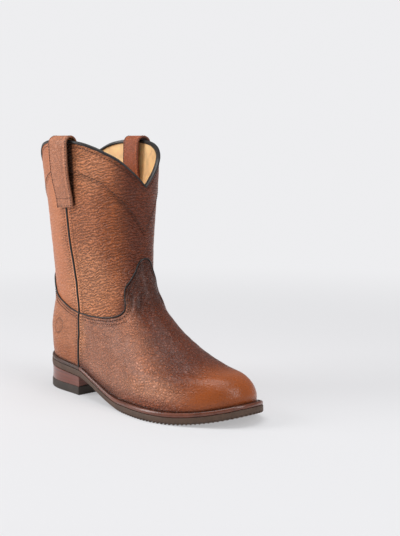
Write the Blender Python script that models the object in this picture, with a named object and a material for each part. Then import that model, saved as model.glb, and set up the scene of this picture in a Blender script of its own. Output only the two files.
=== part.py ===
"""Roper boot: one right boot standing empty on its sole, in metres, +X to the toe, +Z up.

The upper is a loft through rings that follow the last. A place on it is an angle and a rise: the angle
goes round a ring from 0 degrees at the back of the heel to 180 at the toe, on either side, and the rise goes
from 0 at the feather line, where the upper meets the welt, to 1 just above the collar. OUTER is the side
away from the other boot, at -Y.
"""

import math

import bmesh
import bpy
import numpy as np

# Last and shaft
LAST_LENGTH = 0.294
BALL_WIDTH = 0.096
INSTEP_HEIGHT = 0.112
SHAFT_DEPTH = 0.150
SHAFT_WIDTH = 0.104
SHAFT_HEIGHT = 0.2815

# Heights of the overlays where they cross the seams
VAMP_PEAK = 0.1545
COUNTER_PEAK = 0.149
SIDE_MEETING = 0.0915

# Leather
WALL = 0.0020
VAMP_STEP = 0.0010
YOKE_STEP = 0.0005
SEAM_STEP = 0.0006
SEAM_HALF_WIDTH = 0.0055
SEAM_RAMP = 0.0008
PIPING_WIDTH = 0.0024
PIPING_HEIGHT = 0.0014
EDGING_WIDTH = 0.0016
EDGING_HEIGHT = 0.0011
BINDING_THICKNESS = 0.0010
BINDING_OUTER_LEG = 0.0030
BINDING_INNER_LEG = 0.0042
GAP = 0.0003

# Pull straps
STRAP_WIDTH = 0.029
STRAP_THICKNESS = 0.0024
STRAP_STANDOFF = 0.0060
STRAP_OVER_COLLAR = 0.0045
STRAP_OUTER_LENGTH = 0.077
STRAP_INNER_LENGTH = 0.066
STRAP_ARCH = 0.0090

# Bottom of the boot
OUTSOLE_THICKNESS = 0.0074
WELT_THICKNESS = 0.0044
WELT_LEDGE = 0.0046
WELT_SETBACK = 0.0005
EDGE_BEVEL = 0.0008
INSOLE_RISE = 0.0022
INSOLE_CLEARANCE = 0.0008
HEEL_HEIGHT = 0.021
HEEL_PITCH = 0.0055
HEEL_LENGTH = 0.080
LIFT_HEIGHT = 0.0093
BREAST_CURVE = 0.0025
SHANK_SLOPE = 0.16
TREAD_START = 0.175
TREAD_END = 0.235
TOE_SPRING = 0.010

OUTER = -1
INNER = 1
STATION_STEP = 30.0

# Rings of the foot. Columns: follow, back x, back z, front x, front z, then half widths at 0, 30 ... 180
# degrees. x is in shares of LAST_LENGTH, z of INSTEP_HEIGHT above the feather line, widths of BALL_WIDTH, and
# follow is how much of the sole's own rise and fall the ring takes.
FOOT_RINGS = (
    (1.00, 0.010, 0.000, 1.000, 0.000, 0.690, 0.580, 0.410, 0.390, 0.580, 0.690, 0.750),
    (1.00, 0.005, 0.080, 0.997, 0.080, 0.700, 0.590, 0.415, 0.390, 0.575, 0.700, 0.760),
    (0.95, 0.000, 0.195, 0.980, 0.180, 0.690, 0.580, 0.410, 0.385, 0.550, 0.670, 0.740),
    (0.84, -0.004, 0.320, 0.942, 0.280, 0.680, 0.560, 0.405, 0.375, 0.515, 0.625, 0.700),
    (0.66, -0.005, 0.445, 0.878, 0.360, 0.635, 0.530, 0.390, 0.370, 0.470, 0.545, 0.615),
    (0.48, -0.003, 0.570, 0.791, 0.475, 0.590, 0.490, 0.380, 0.365, 0.420, 0.475, 0.515),
    (0.34, 0.000, 0.695, 0.702, 0.610, 0.525, 0.450, 0.370, 0.360, 0.395, 0.430, 0.460),
    (0.20, 0.005, 0.820, 0.614, 0.785, 0.480, 0.410, 0.365, 0.355, 0.380, 0.395, 0.405),
    (0.08, 0.007, 0.945, 0.551, 1.000, 0.450, 0.395, 0.370, 0.365, 0.380, 0.380, 0.380),
)

# Rings of the shaft, with the same columns. x is in shares of SHAFT_DEPTH, widths of SHAFT_WIDTH, and z of
# the way from the highest ring of the foot to SHAFT_HEIGHT.
SHAFT_RINGS = (
    (0.00, 0.017, 0.080, 1.020, 0.147, 0.415, 0.375, 0.355, 0.355, 0.365, 0.365, 0.365),
    (0.00, 0.017, 0.194, 0.997, 0.254, 0.438, 0.400, 0.380, 0.375, 0.395, 0.400, 0.400),
    (0.00, 0.017, 0.336, 0.990, 0.400, 0.475, 0.438, 0.420, 0.415, 0.430, 0.438, 0.438),
    (0.00, 0.010, 0.536, 1.000, 0.590, 0.530, 0.490, 0.463, 0.455, 0.466, 0.470, 0.470),
    (0.00, -0.010, 0.764, 1.013, 0.802, 0.585, 0.543, 0.513, 0.500, 0.500, 0.500, 0.500),
    (0.00, -0.040, 1.070, 1.023, 1.070, 0.635, 0.580, 0.550, 0.540, 0.530, 0.525, 0.525),
)

# Left and right curve of the last: how far the middle lies to the inner side at 0, 30 ... 180 degrees, in
# shares of BALL_WIDTH.
SWING = (0.0, 0.0, -0.016, -0.083, -0.042, 0.073, 0.094)

# Columns: rise, angle of the side seam in degrees.
SIDE_SEAM = (
    (0.00, 61.2),
    (0.12, 62.5),
    (0.18, 63.8),
    (0.25, 66.0),
    (0.31, 68.7),
    (0.375, 72.5),
    (0.42, 75.7),
    (0.48, 80.5),
    (0.56, 85.8),
    (0.65, 88.7),
    (0.80, 88.5),
    (1.00, 88.9),
)

# Top line of counter and vamp. Columns: angle, share of the way from SIDE_MEETING up to the peak behind or
# in front.
OVERLAY_LINE = (
    (0, 1.00),
    (6, 0.95),
    (12, 0.845),
    (20, 0.65),
    (28, 0.57),
    (34, 0.47),
    (38, 0.34),
    (42, 0.27),
    (50, 0.19),
    (58, 0.13),
    (68, 0.045),
    (80, 0.0),
    (96, -0.02),
    (111, -0.01),
    (125, 0.04),
    (133, 0.11),
    (138, 0.215),
    (141.5, 0.40),
    (145, 0.52),
    (151, 0.61),
    (163, 0.80),
    (168, 0.91),
    (174, 0.98),
    (180, 1.00),
)

# Yoke seam and collar, pointed at the V dips. Columns: angle, share of the way from VAMP_PEAK up to
# SHAFT_HEIGHT.
YOKE_LINE = (
    (0, 0.20),
    (16, 0.343),
    (32, 0.469),
    (55, 0.634),
    (73, 0.713),
    (88, 0.736),
    (104, 0.713),
    (126, 0.645),
    (143, 0.531),
    (158, 0.409),
    (180, 0.20),
)
COLLAR_LINE = (
    (0, 0.614),
    (15, 0.700),
    (29, 0.787),
    (43, 0.882),
    (61, 0.969),
    (75, 0.992),
    (88, 1.000),
    (100, 0.990),
    (112, 0.972),
    (124, 0.937),
    (136, 0.888),
    (149, 0.827),
    (161, 0.748),
    (180, 0.614),
)

# Bottom of the boot. Columns: x in shares of LAST_LENGTH, then outsole, welt and ledge in shares of their
# full sizes.
BOTTOM_PROFILE = (
    (0.00, 0.92, 1.18, 0.75),
    (0.27, 0.92, 0.84, 0.63),
    (0.37, 0.72, 0.86, 0.66),
    (0.50, 0.74, 0.92, 0.80),
    (0.62, 1.00, 1.00, 1.00),
    (0.88, 1.00, 1.00, 1.13),
    (1.00, 1.00, 1.00, 1.74),
)

# Columns of the upper between the centre lines and the side seam, in shares of that way: evenly spread, and
# drawn together where the overlay line turns up steeply.
BACK_EVEN = tuple(step / 11 for step in range(11))
BACK_AT_LINE = (0.0, 0.08, 0.16, 0.27, 0.37, 0.44, 0.49, 0.54, 0.62, 0.73, 0.86)
FRONT_EVEN = tuple(step / 18 for step in range(1, 19))
FRONT_AT_LINE = (
    *(0.08, 0.16, 0.24, 0.32, 0.39, 0.445, 0.495, 0.53, 0.56),
    *(0.585, 0.62, 0.665, 0.72, 0.78, 0.835, 0.89, 0.945, 1.0),
)

# Rows of the upper: rises on the foot, then shares of the way between two lines
FOOT_ROWS = (0.0, 0.045, 0.095, 0.15, 0.215, 0.295, 0.385)
INSTEP_ROWS = (0.21, 0.41, 0.60, 0.78, 0.91)
SHAFT_ROWS = (0.06, 0.15, 0.32, 0.52, 0.74)
YOKE_ROWS = (0.35, 0.70)
INNER_ROWS = (0.92, 0.80, 0.67, 0.55, 0.44, 0.34, 0.25, 0.16, 0.08, 0.03, 0.0)

# Sewn and free stretches of a strap's leg. Columns: share of the leg's height, share of its stand-off.
STRAP_LEG = (
    (0.0, 0.0),
    (0.13, 0.0),
    (0.26, 0.20),
    (0.40, 0.50),
    (0.56, 0.78),
    (0.74, 0.95),
    (1.0, 1.0),
)

# Side of the heel stack and of the lift. Columns: share of the height, share of the sole's ledge.
STACK_SIDE = ((0.0, 0.86), (0.25, 0.76), (0.55, 0.72), (0.82, 0.80), (1.0, 0.90))
LIFT_SIDE = ((0.0, 0.82), (0.12, 1.02), (1.0, 0.96))


def catmull_rom(part):
    """Weights of four neighbouring rows at this part of the way from the second to the third."""
    return (
        part * (-1 + part * (2 - part)) / 2,
        (2 + part * part * (3 * part - 5)) / 2,
        part * (1 + part * (4 - 3 * part)) / 2,
        part * part * (part - 1) / 2,
    )


def curve_through(table, places, column=1):
    """A smooth curve through a table's rows that never swings past them."""
    table = np.array(table, float)
    knots = table[:, 0]
    values = table[:, column]
    steps = np.diff(knots)
    slopes = np.diff(values) / steps
    turning = slopes[:-1] * slopes[1:]
    inner = np.where(turning > 0, 2 * turning / np.where(turning > 0, slopes[:-1] + slopes[1:], 1), 0)
    tangents = np.concatenate([slopes[:1], inner, slopes[-1:]])
    places = np.clip(np.asarray(places, float), knots[0], knots[-1])
    index = np.clip(np.searchsorted(knots, places) - 1, 0, len(knots) - 2)
    step = steps[index]
    part = (places - knots[index]) / step
    keep = (1 - part) ** 2 * (1 + 2 * part)
    return (
        keep * values[index]
        + (1 - keep) * values[index + 1]
        + step * part * (1 - part) * ((1 - part) * tangents[index] - part * tangents[index + 1])
    )


def sole_bottom(x):
    """Height of the outsole's underside: heel seat, shank, flat tread and toe spring."""
    x = np.asarray(x, float)
    seat = HEEL_HEIGHT + HEEL_PITCH * (HEEL_LENGTH - x) / HEEL_LENGTH
    shank = TREAD_START - HEEL_LENGTH
    part = np.clip((x - HEEL_LENGTH) / shank, 0, 1)
    waist = HEEL_HEIGHT * (1 - part) ** 2 * (1 + 2 * part) - SHANK_SLOPE * shank * part * (1 - part) ** 2
    toe_length = LAST_LENGTH + WELT_LEDGE - TREAD_END
    spring = TOE_SPRING * (np.maximum(x - TREAD_END, 0) / toe_length) ** 2
    return np.where(x < HEEL_LENGTH, seat, waist + spring)


def profile(x, column):
    return curve_through(BOTTOM_PROFILE, np.asarray(x) / LAST_LENGTH, column)


def sole_top(x):
    return sole_bottom(x) + OUTSOLE_THICKNESS * profile(x, 1)


def welt_top(x):
    return sole_top(x) + GAP + WELT_THICKNESS * profile(x, 2)


def feather_height(x):
    return welt_top(x) + GAP


def ring_table():
    """All rings in metres, from the feather line up."""
    foot = np.array(FOOT_RINGS)
    foot[:, [1, 3]] *= LAST_LENGTH
    foot[:, [2, 4]] *= INSTEP_HEIGHT
    foot[:, 5:] *= BALL_WIDTH
    shaft = np.array(SHAFT_RINGS)
    shaft[:, [1, 3]] *= SHAFT_DEPTH
    for column in (2, 4):
        ankle = foot[-1, column]
        shaft[:, column] = ankle + (SHAFT_HEIGHT - ankle) * shaft[:, column]
    shaft[:, 5:] *= SHAFT_WIDTH
    return np.concatenate([foot, shaft])


RINGS = ring_table()


def at_station(values, angle):
    """Values given every STATION_STEP degrees along their last axis, read at an angle."""
    last = values.shape[-1] - 1
    place = angle / STATION_STEP
    start = np.clip(place.astype(int), 0, last - 1)
    total = 0.0
    for shift, weight in zip((-1, 0, 1, 2), catmull_rom(place - start)):
        index = np.abs(start + shift)
        index = np.where(index > last, 2 * last - index, index)
        total = total + weight * np.take_along_axis(values, index[..., None], -1)[..., 0]
    return total


def surface(angle, rise, side):
    """The point of the last's outer surface at an angle and a rise."""
    angle, rise = np.broadcast_arrays(np.asarray(angle, float), np.asarray(rise, float))
    rings = np.concatenate([[2 * RINGS[0] - RINGS[1]], RINGS, [2 * RINGS[-1] - RINGS[-2]]])
    place = rise * (len(RINGS) - 1)
    start = np.clip(place.astype(int), 0, len(RINGS) - 2)
    ring = 0.0
    for shift, weight in zip((0, 1, 2, 3), catmull_rom(place - start)):
        ring = ring + weight[..., None] * rings[start + shift]
    follow, back_x, back_z, front_x, front_z = np.moveaxis(ring[..., :5], -1, 0)
    half_width = at_station(ring[..., 5:], angle)
    swing = np.broadcast_to(np.array(SWING) * BALL_WIDTH, angle.shape + (len(SWING),))
    middle = at_station(swing, angle) * np.maximum(follow, 0) ** 0.8
    turn = np.radians(angle)
    forward = (1 - np.cos(turn)) / 2
    x = back_x + (front_x - back_x) * forward
    z = follow * feather_height(x) + back_z + (front_z - back_z) * forward
    return np.stack([x, middle + side * half_width * np.sin(turn), z], -1)


def along_ring(angle, rise, side):
    """How the surface moves with each degree."""
    step = 0.05
    return (surface(angle + step, rise, side) - surface(angle - step, rise, side)) / (2 * step)


def outward(angle, rise, side):
    """Unit normal of the surface, pointing out of the boot."""
    step = 0.002
    upward = surface(angle, rise + step, side) - surface(angle, rise - step, side)
    normal = side * np.cross(upward, along_ring(angle, rise, side))
    return normal / np.linalg.norm(normal, axis=-1, keepdims=True)


def lifted(angle, rise, side, offset):
    """A point at a distance outside the surface."""
    offset = np.asarray(offset, float)
    return surface(angle, rise, side) + offset[..., None] * outward(angle, rise, side)


def rise_at(angle, height):
    """The rise at which the surface reaches a height, for each angle."""
    angle, height = np.broadcast_arrays(np.asarray(angle, float), np.asarray(height, float))
    rises = np.linspace(0, 1, 141)
    heights = surface(angle[..., None], rises, OUTER)[..., 2]
    found = [np.interp(z, row, rises) for z, row in zip(height.ravel(), heights.reshape(-1, len(rises)))]
    return np.array(found).reshape(height.shape)


def overlay_height(angle):
    share = curve_through(OVERLAY_LINE, angle)
    turnover = curve_through(SIDE_SEAM, 0.48)
    peak = np.where(angle < turnover, COUNTER_PEAK, VAMP_PEAK)
    return SIDE_MEETING + share * (peak - SIDE_MEETING)


def yoke_height(angle):
    return VAMP_PEAK + curve_through(YOKE_LINE, angle) * (SHAFT_HEIGHT - VAMP_PEAK)


def collar_height(angle):
    return VAMP_PEAK + curve_through(COLLAR_LINE, angle) * (SHAFT_HEIGHT - VAMP_PEAK)


def foot_height(angle, rise=0.0):
    return surface(angle, rise, OUTER)[..., 2]


def seam_angle(rise):
    return curve_through(SIDE_SEAM, rise)


def seam_columns():
    """Distances of the upper's columns from the side seam, and whether each is raised."""
    groove = PIPING_WIDTH / 2 + GAP
    half = (groove, groove + GAP, SEAM_HALF_WIDTH - SEAM_RAMP, SEAM_HALF_WIDTH)
    raised = (0, 1, 1, 0)
    return [-distance for distance in half[::-1]] + list(half), list(raised[::-1]) + list(raised)


SEAM_PLACES, SEAM_RAISED = seam_columns()
SIDE_COLUMNS = len(BACK_EVEN) + len(SEAM_PLACES) + len(FRONT_EVEN)


def column_angles(rise, gathered):
    """Angles of one side's columns; rise holds one value for each, gathered is 1 on the overlay line."""
    back = len(BACK_EVEN)
    front = back + len(SEAM_PLACES)
    seam = seam_angle(rise)
    speed = np.linalg.norm(along_ring(seam, rise, OUTER), axis=-1)
    angles = np.empty(len(rise))
    blend = np.array(BACK_EVEN) * (1 - gathered) + np.array(BACK_AT_LINE) * gathered
    angles[:back] = blend * (seam + SEAM_PLACES[0] / speed)[:back]
    angles[back:front] = seam[back:front] + np.array(SEAM_PLACES) / speed[back:front]
    edge = (seam + SEAM_PLACES[-1] / speed)[front:]
    blend = np.array(FRONT_EVEN) * (1 - gathered) + np.array(FRONT_AT_LINE) * gathered
    angles[front:] = edge + (180 - edge) * blend
    return angles


def row_places(low, high, share, gathered):
    """(angles, rises) of one row: a share of the way between two heights that depend on the angle."""
    rise = np.full(SIDE_COLUMNS, 0.5)
    for _ in range(6):
        angles = column_angles(rise, gathered)
        start = rise_at(angles, low(angles))
        rise = start + share * (rise_at(angles, high(angles)) - start)
    return angles, rise


def shifted(height, by):
    return lambda angle: height(angle) + by


def both_sides(make):
    """A closed ring of points: the outer side from heel to toe, then the inner side back."""
    outer = make(OUTER)
    inner = make(INNER)
    return np.concatenate([outer, inner[-2:0:-1]])


def row_ring(places, offset):
    angles, rise = places
    return both_sides(lambda side: lifted(angles, rise, side, offset))


def layer_offset(layer, raised=1):
    """Offset of each column for a layer's face, with the folded edges of the side seam raised."""
    offsets = np.full(SIDE_COLUMNS, layer, float)
    start = len(BACK_EVEN)
    offsets[start : start + len(SEAM_PLACES)] += raised * SEAM_STEP * np.array(SEAM_RAISED)
    return offsets


VAMP_FACE = VAMP_STEP / 2
SHAFT_FACE = -VAMP_STEP / 2
YOKE_FACE = SHAFT_FACE + YOKE_STEP
LINING_FACE = SHAFT_FACE - WALL


def upper_rows():
    """Rows of the upper's outer face from the feather line to the collar, as (places, offsets)."""
    nudge = 0.0002
    rows = []
    for rise in FOOT_ROWS:
        places = row_places(lambda angle, rise=rise: foot_height(angle, rise), overlay_height, 0.0, 0.0)
        rows.append((places, layer_offset(VAMP_FACE)))
    for share in INSTEP_ROWS:
        places = row_places(lambda angle: foot_height(angle, FOOT_ROWS[-1]), overlay_height, share, share**2)
        rows.append((places, layer_offset(VAMP_FACE)))
    for shift, layer in ((-nudge, VAMP_FACE), (nudge, SHAFT_FACE), (EDGING_WIDTH + 3 * GAP, SHAFT_FACE)):
        places = row_places(shifted(overlay_height, shift), yoke_height, 0.0, 1.0)
        rows.append((places, layer_offset(layer)))
    for share in SHAFT_ROWS:
        places = row_places(overlay_height, yoke_height, share, (1 - share) ** 2)
        rows.append((places, layer_offset(SHAFT_FACE)))
    for shift, layer in ((-nudge, SHAFT_FACE), (nudge, YOKE_FACE)):
        places = row_places(shifted(yoke_height, shift), collar_height, 0.0, 0.0)
        rows.append((places, layer_offset(layer)))
    for share in YOKE_ROWS:
        places = row_places(yoke_height, collar_height, share, 0.0)
        rows.append((places, layer_offset(YOKE_FACE)))
    for shift in (-BINDING_OUTER_LEG - 2 * GAP, 0.0):
        places = row_places(shifted(collar_height, shift), collar_height, 0.0, 0.0)
        rows.append((places, layer_offset(YOKE_FACE, raised=0)))
    return rows


def lining_rows():
    """Rows of the upper's inner face from the collar down to the feather line."""
    lining = layer_offset(LINING_FACE, raised=0)
    rows = []
    for shift in (0.0, -BINDING_INNER_LEG - 2 * GAP):
        rows.append((row_places(shifted(collar_height, shift), collar_height, 0.0, 0.0), lining))
    for share in INNER_ROWS:
        rows.append((row_places(foot_height, collar_height, share, 0.0), lining))
    return rows


def mesh_object(name, points, faces, material):
    mesh = bpy.data.meshes.new(name)
    mesh.from_pydata([tuple(point) for point in points], [], faces)
    shape = bmesh.new()
    shape.from_mesh(mesh)
    bmesh.ops.recalc_face_normals(shape, faces=shape.faces)
    shape.to_mesh(mesh)
    shape.free()
    mesh.shade_smooth()
    mesh.set_sharp_from_angle(angle=math.radians(35))
    mesh.materials.append(material)
    piece = bpy.data.objects.new(name, mesh)
    bpy.data.collections["roper_boot"].objects.link(piece)
    return piece


def loft_faces(rows, columns, rows_closed=False, columns_closed=True):
    """Quads between neighbouring rows of points that are numbered row by row."""
    faces = []
    for row in range(rows if rows_closed else rows - 1):
        for column in range(columns if columns_closed else columns - 1):
            here = row * columns
            above = (row + 1) % rows * columns
            beside = (column + 1) % columns
            faces.append((here + column, here + beside, above + beside, above + column))
    return faces


def loft(name, rings, material, rows_closed=False):
    """A solid through rings of equal length, closed on itself or with a flat cap at each end."""
    rows, columns = len(rings), len(rings[0])
    faces = loft_faces(rows, columns, rows_closed)
    if not rows_closed:
        faces.append(tuple(range(columns)))
        faces.append(tuple(range((rows - 1) * columns, rows * columns)))
    return mesh_object(name, np.concatenate(rings), faces, material)


def plate(name, rings, material):
    """A solid through outlines of the sole, capped by rungs from one side to the other."""
    rows, columns = len(rings), len(rings[0])
    faces = loft_faces(rows, columns)
    half = columns // 2
    for base in (0, (rows - 1) * columns):
        faces.append((base, base + 1, base + columns - 1))
        for rung in range(1, half - 1):
            left = base + rung
            right = base + columns - rung
            faces.append((left, left + 1, right - 1, right))
        faces.append((base + half - 1, base + half, base + half + 1))
    return mesh_object(name, np.concatenate(rings), faces, material)


def build_upper(material):
    rings = [row_ring(places, offsets) for places, offsets in upper_rows() + lining_rows()]
    rings[-1][:, 2] = rings[0][:, 2]
    return loft("upper", rings, material, rows_closed=True)


def build_collar_binding(material):
    """A folded strip over the collar, in the same columns as the upper."""
    outside = YOKE_FACE + GAP
    inside = LINING_FACE - GAP
    crown = GAP + BINDING_THICKNESS
    section = (
        (outside, -BINDING_OUTER_LEG),
        (outside + BINDING_THICKNESS, -BINDING_OUTER_LEG),
        (outside + BINDING_THICKNESS, crown / 3),
        (outside, crown),
        (inside, crown),
        (inside - BINDING_THICKNESS, crown / 3),
        (inside - BINDING_THICKNESS, -BINDING_INNER_LEG),
        (inside, -BINDING_INNER_LEG),
        (inside, GAP),
        (outside, GAP),
    )
    rings = []
    for offset, shift in section:
        places = row_places(shifted(collar_height, shift), collar_height, 0.0, 0.0)
        rings.append(row_ring(places, layer_offset(offset, raised=0)))
    return loft("collar_binding", rings, material, rows_closed=True)


def build_side_piping(name, side, material):
    """Piping in the groove of the side seam, from the strap's foot down to the welt."""
    low = GAP
    high = GAP + PIPING_HEIGHT
    shoulder = GAP + PIPING_HEIGHT * 0.6
    half = PIPING_WIDTH / 2
    right = ((half / 2, high), (half, shoulder), (half, low))
    section = [(-across, lift) for across, lift in right[::-1]] + list(right)
    strap_foot = SHAFT_HEIGHT + STRAP_OVER_COLLAR - STRAP_OUTER_LENGTH
    top = rise_at(seam_angle(np.array(0.85)), strap_foot - 2 * GAP)
    groove = len(BACK_EVEN) + 3
    rings = []
    for places, offsets in upper_rows():
        rise = places[1][groove : groove + 2].mean()
        last = rise >= top
        rise = min(rise, float(top))
        seam = seam_angle(rise)
        speed = np.linalg.norm(along_ring(seam, rise, side))
        base = offsets[groove]
        ring = [lifted(seam + across / speed, rise, side, base + lift) for across, lift in section]
        rings.append(np.array(ring))
        if last:
            break
    rings[0][:, 2] += GAP
    return loft(name, rings, material)


def build_edging(name, columns, material):
    """Piped edging that lies against the step of an overlay, in the upper's columns."""
    angles, rise = row_places(overlay_height, yoke_height, 0.0, 1.0)
    ring = row_ring((angles, rise), np.zeros(len(angles)))
    normals = both_sides(lambda side: outward(angles, rise, side))
    centre = ring[columns]
    normal = normals[columns]
    ahead = np.gradient(centre, axis=0)
    ahead /= np.linalg.norm(ahead, axis=-1, keepdims=True)
    upward = np.cross(normal, ahead)
    upward *= np.sign(upward[len(upward) // 2, 2])
    centre[0] += ahead[0] * 2 * GAP
    centre[-1] -= ahead[-1] * 2 * GAP
    low = SHAFT_FACE + 1.5 * GAP
    high = low + EDGING_HEIGHT
    start = 2 * GAP
    end = start + EDGING_WIDTH
    middle = (start + end) / 2
    section = ((start, low), (start, high - GAP), (middle, high), (end, high - GAP), (end, low))
    rings = np.array([centre + across * upward + lift * normal for across, lift in section])
    return loft(name, list(np.moveaxis(rings, 0, 1)), material)


def ring_columns(first):
    """Indices into a closed ring from a column on the outer side round the toe to the one opposite."""
    full = 2 * SIDE_COLUMNS - 2
    outer = list(range(first, SIDE_COLUMNS))
    inner = [full - column for column in range(SIDE_COLUMNS - 2, first - 1, -1)]
    return outer + inner


def build_vamp_edging(material):
    band_end = len(BACK_EVEN) + len(SEAM_PLACES) - 1
    return build_edging("vamp_piping", ring_columns(band_end), material)


def build_counter_edging(material):
    full = 2 * SIDE_COLUMNS - 2
    band_start = len(BACK_EVEN)
    columns = [full - column for column in range(band_start, 0, -1)] + list(range(band_start + 1))
    return build_edging("counter_piping", columns, material)


def strap_path():
    """Middle line of a pull strap as (distance outside the surface, height)."""
    half = STRAP_THICKNESS / 2
    top = SHAFT_HEIGHT + STRAP_OVER_COLLAR
    spring = top - STRAP_ARCH
    sewn_out = SHAFT_FACE + SEAM_STEP + GAP + half
    free_out = sewn_out + STRAP_STANDOFF
    sewn_in = LINING_FACE - GAP - half
    free_in = sewn_in - STRAP_STANDOFF
    outer_foot = top - STRAP_OUTER_LENGTH
    inner_foot = top - STRAP_INNER_LENGTH
    path = []
    for up, away in STRAP_LEG:
        path.append((sewn_out + away * STRAP_STANDOFF, outer_foot + up * (spring - outer_foot)))
    for turn in np.radians(np.arange(22.5, 180, 22.5)):
        across = (free_out + free_in) / 2 + (free_out - free_in) / 2 * math.cos(turn)
        path.append((across, spring + (STRAP_ARCH - half) * math.sin(turn)))
    for up, away in STRAP_LEG[::-1]:
        path.append((sewn_in - away * STRAP_STANDOFF, inner_foot + up * (spring - inner_foot)))
    return np.array(path)


def build_strap(name, side, material):
    """A looped strap that bends over the collar, following the shaft across its width."""
    path = strap_path()
    ahead = np.gradient(path, axis=0)
    ahead /= np.linalg.norm(ahead, axis=-1, keepdims=True)
    sideways = np.stack([ahead[:, 1], -ahead[:, 0]], -1) * STRAP_THICKNESS / 2
    places = np.linspace(-STRAP_WIDTH / 2, STRAP_WIDTH / 2, 5)
    rings = []
    for middle, shift in zip(path, sideways):
        ring = []
        for (offset, height), across in ((middle + shift, places), (middle - shift, places[::-1])):
            rise = rise_at(seam_angle(np.array(0.9)), height)
            seam = seam_angle(rise)
            speed = np.linalg.norm(along_ring(seam, rise, side))
            ring.extend(lifted(seam + across / speed, rise, side, np.full(len(across), offset)))
        rings.append(np.array(ring))
    return loft(name, rings, material)


def feather_outline(angles, side, ledge):
    """The feather line in plan, moved outwards by a distance at each angle."""
    point = surface(angles, 0.0, side)[..., :2]
    ahead = along_ring(angles, 0.0, side)[..., :2]
    ahead /= np.linalg.norm(ahead, axis=-1, keepdims=True)
    away = side * np.stack([-ahead[..., 1], ahead[..., 0]], -1)
    return point + np.asarray(ledge)[..., None] * away


def ledge_at(angles):
    return WELT_LEDGE * profile(surface(angles, 0.0, OUTER)[..., 0], 3)


def breast_angle():
    """The angle at which the feather line passes the heel breast."""
    angles = np.linspace(0, 90, 361)
    return float(np.interp(HEEL_LENGTH, surface(angles, 0.0, OUTER)[..., 0], angles))


def sole_angles():
    """Columns of the sole: those of the upper's lower edge, with one at the heel breast."""
    angles = row_places(foot_height, overlay_height, 0.0, 0.0)[0]
    start = len(BACK_EVEN)
    ramps = [start + 1, start + 2, start + 5, start + 6]
    angles = np.delete(angles, ramps)
    breast = breast_angle()
    angles = angles[np.abs(angles - breast) > 1.2]
    return np.sort(np.append(angles, breast))


def outline_ring(angles, ledge, height):
    """A closed outline round the boot, its height worked out from x."""

    def one_side(side):
        plan = feather_outline(angles, side, ledge)
        return np.concatenate([plan, height(plan[:, 0])[:, None]], 1)

    return both_sides(one_side)


def build_outsole(material):
    angles = sole_angles()
    ledge = ledge_at(angles)
    rings = (
        outline_ring(angles, ledge - EDGE_BEVEL, sole_bottom),
        outline_ring(angles, ledge, lambda x: sole_bottom(x) + EDGE_BEVEL),
        outline_ring(angles, ledge, sole_top),
    )
    return plate("outsole", rings, material)


def build_insole(material):
    angles = sole_angles()
    inside = np.full(len(angles), LINING_FACE - INSOLE_CLEARANCE)
    rings = (
        outline_ring(angles, inside, lambda x: sole_top(x) + GAP),
        outline_ring(angles, inside, lambda x: welt_top(x) + INSOLE_RISE - EDGE_BEVEL),
        outline_ring(angles, inside - EDGE_BEVEL, lambda x: welt_top(x) + INSOLE_RISE),
    )
    return plate("insole", rings, material)


def edge_strip(name, angles, columns, end_x, material):
    """A strip on the sole's edge: rand or welt, with square ends at the heel breast."""
    ledge = ledge_at(angles) - WELT_SETBACK
    inside = np.full(len(angles), LINING_FACE)
    bevel = WELT_THICKNESS / 4
    loops = (
        outline_ring(angles, inside, lambda x: sole_top(x) + GAP),
        outline_ring(angles, ledge, lambda x: sole_top(x) + GAP),
        outline_ring(angles, ledge, lambda x: welt_top(x) - bevel),
        outline_ring(angles, ledge - bevel, welt_top),
        outline_ring(angles, inside, welt_top),
    )
    strip = np.array([loop[columns] for loop in loops])
    strip[:, [0, -1], 0] = end_x
    return loft(name, list(np.moveaxis(strip, 0, 1)), material)


def build_welt(material):
    angles = sole_angles()
    angles = angles[angles >= breast_angle()]
    columns = list(range(2 * len(angles) - 1))
    angles = np.concatenate([[0.0], angles])
    full = 2 * len(angles) - 2
    columns = [column + 1 for column in columns if column + 1 < full]
    return edge_strip("welt", angles, columns, HEEL_LENGTH + GAP / 2, material)


def build_heel_rand(material):
    angles = sole_angles()
    angles = angles[angles <= breast_angle()]
    count = len(angles)
    angles = np.concatenate([angles, [180.0]])
    full = 2 * len(angles) - 2
    columns = [full - column for column in range(count - 1, 0, -1)] + list(range(count))
    return edge_strip("heel_rand", angles, columns, HEEL_LENGTH - GAP / 2, material)


def heel_outline(ledge_share, height):
    """The D of the heel at one level, with a hollow breast."""
    angles = sole_angles()
    angles = angles[angles <= breast_angle()]
    ledge = ledge_at(angles) * ledge_share
    outer = feather_outline(angles, OUTER, ledge)
    inner = feather_outline(angles, INNER, ledge)
    outer[-1, 0] = HEEL_LENGTH
    inner[-1, 0] = HEEL_LENGTH
    across = np.linspace(0, 1, 7)[1:-1]
    breast = outer[-1] + across[:, None] * (inner[-1] - outer[-1])
    breast[:, 0] -= BREAST_CURVE * (1 - (2 * across - 1) ** 2)
    plan = np.concatenate([outer, breast, inner[:0:-1]])
    return np.concatenate([plan, height(plan[:, 0])[:, None]], 1)


def build_heel_stack(material):
    def level(share):
        floor = LIFT_HEIGHT + GAP
        return lambda x: floor + share * (sole_bottom(np.minimum(x, HEEL_LENGTH - GAP)) - GAP - floor)

    rings = [heel_outline(ledge_share, level(share)) for share, ledge_share in STACK_SIDE]
    return loft("heel_stack", rings, material)


def build_heel_lift(material):
    rings = []
    for share, ledge_share in LIFT_SIDE:
        rings.append(heel_outline(ledge_share, lambda x, share=share: np.full(len(x), share * LIFT_HEIGHT)))
    return loft("heel_lift", rings, material)


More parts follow.
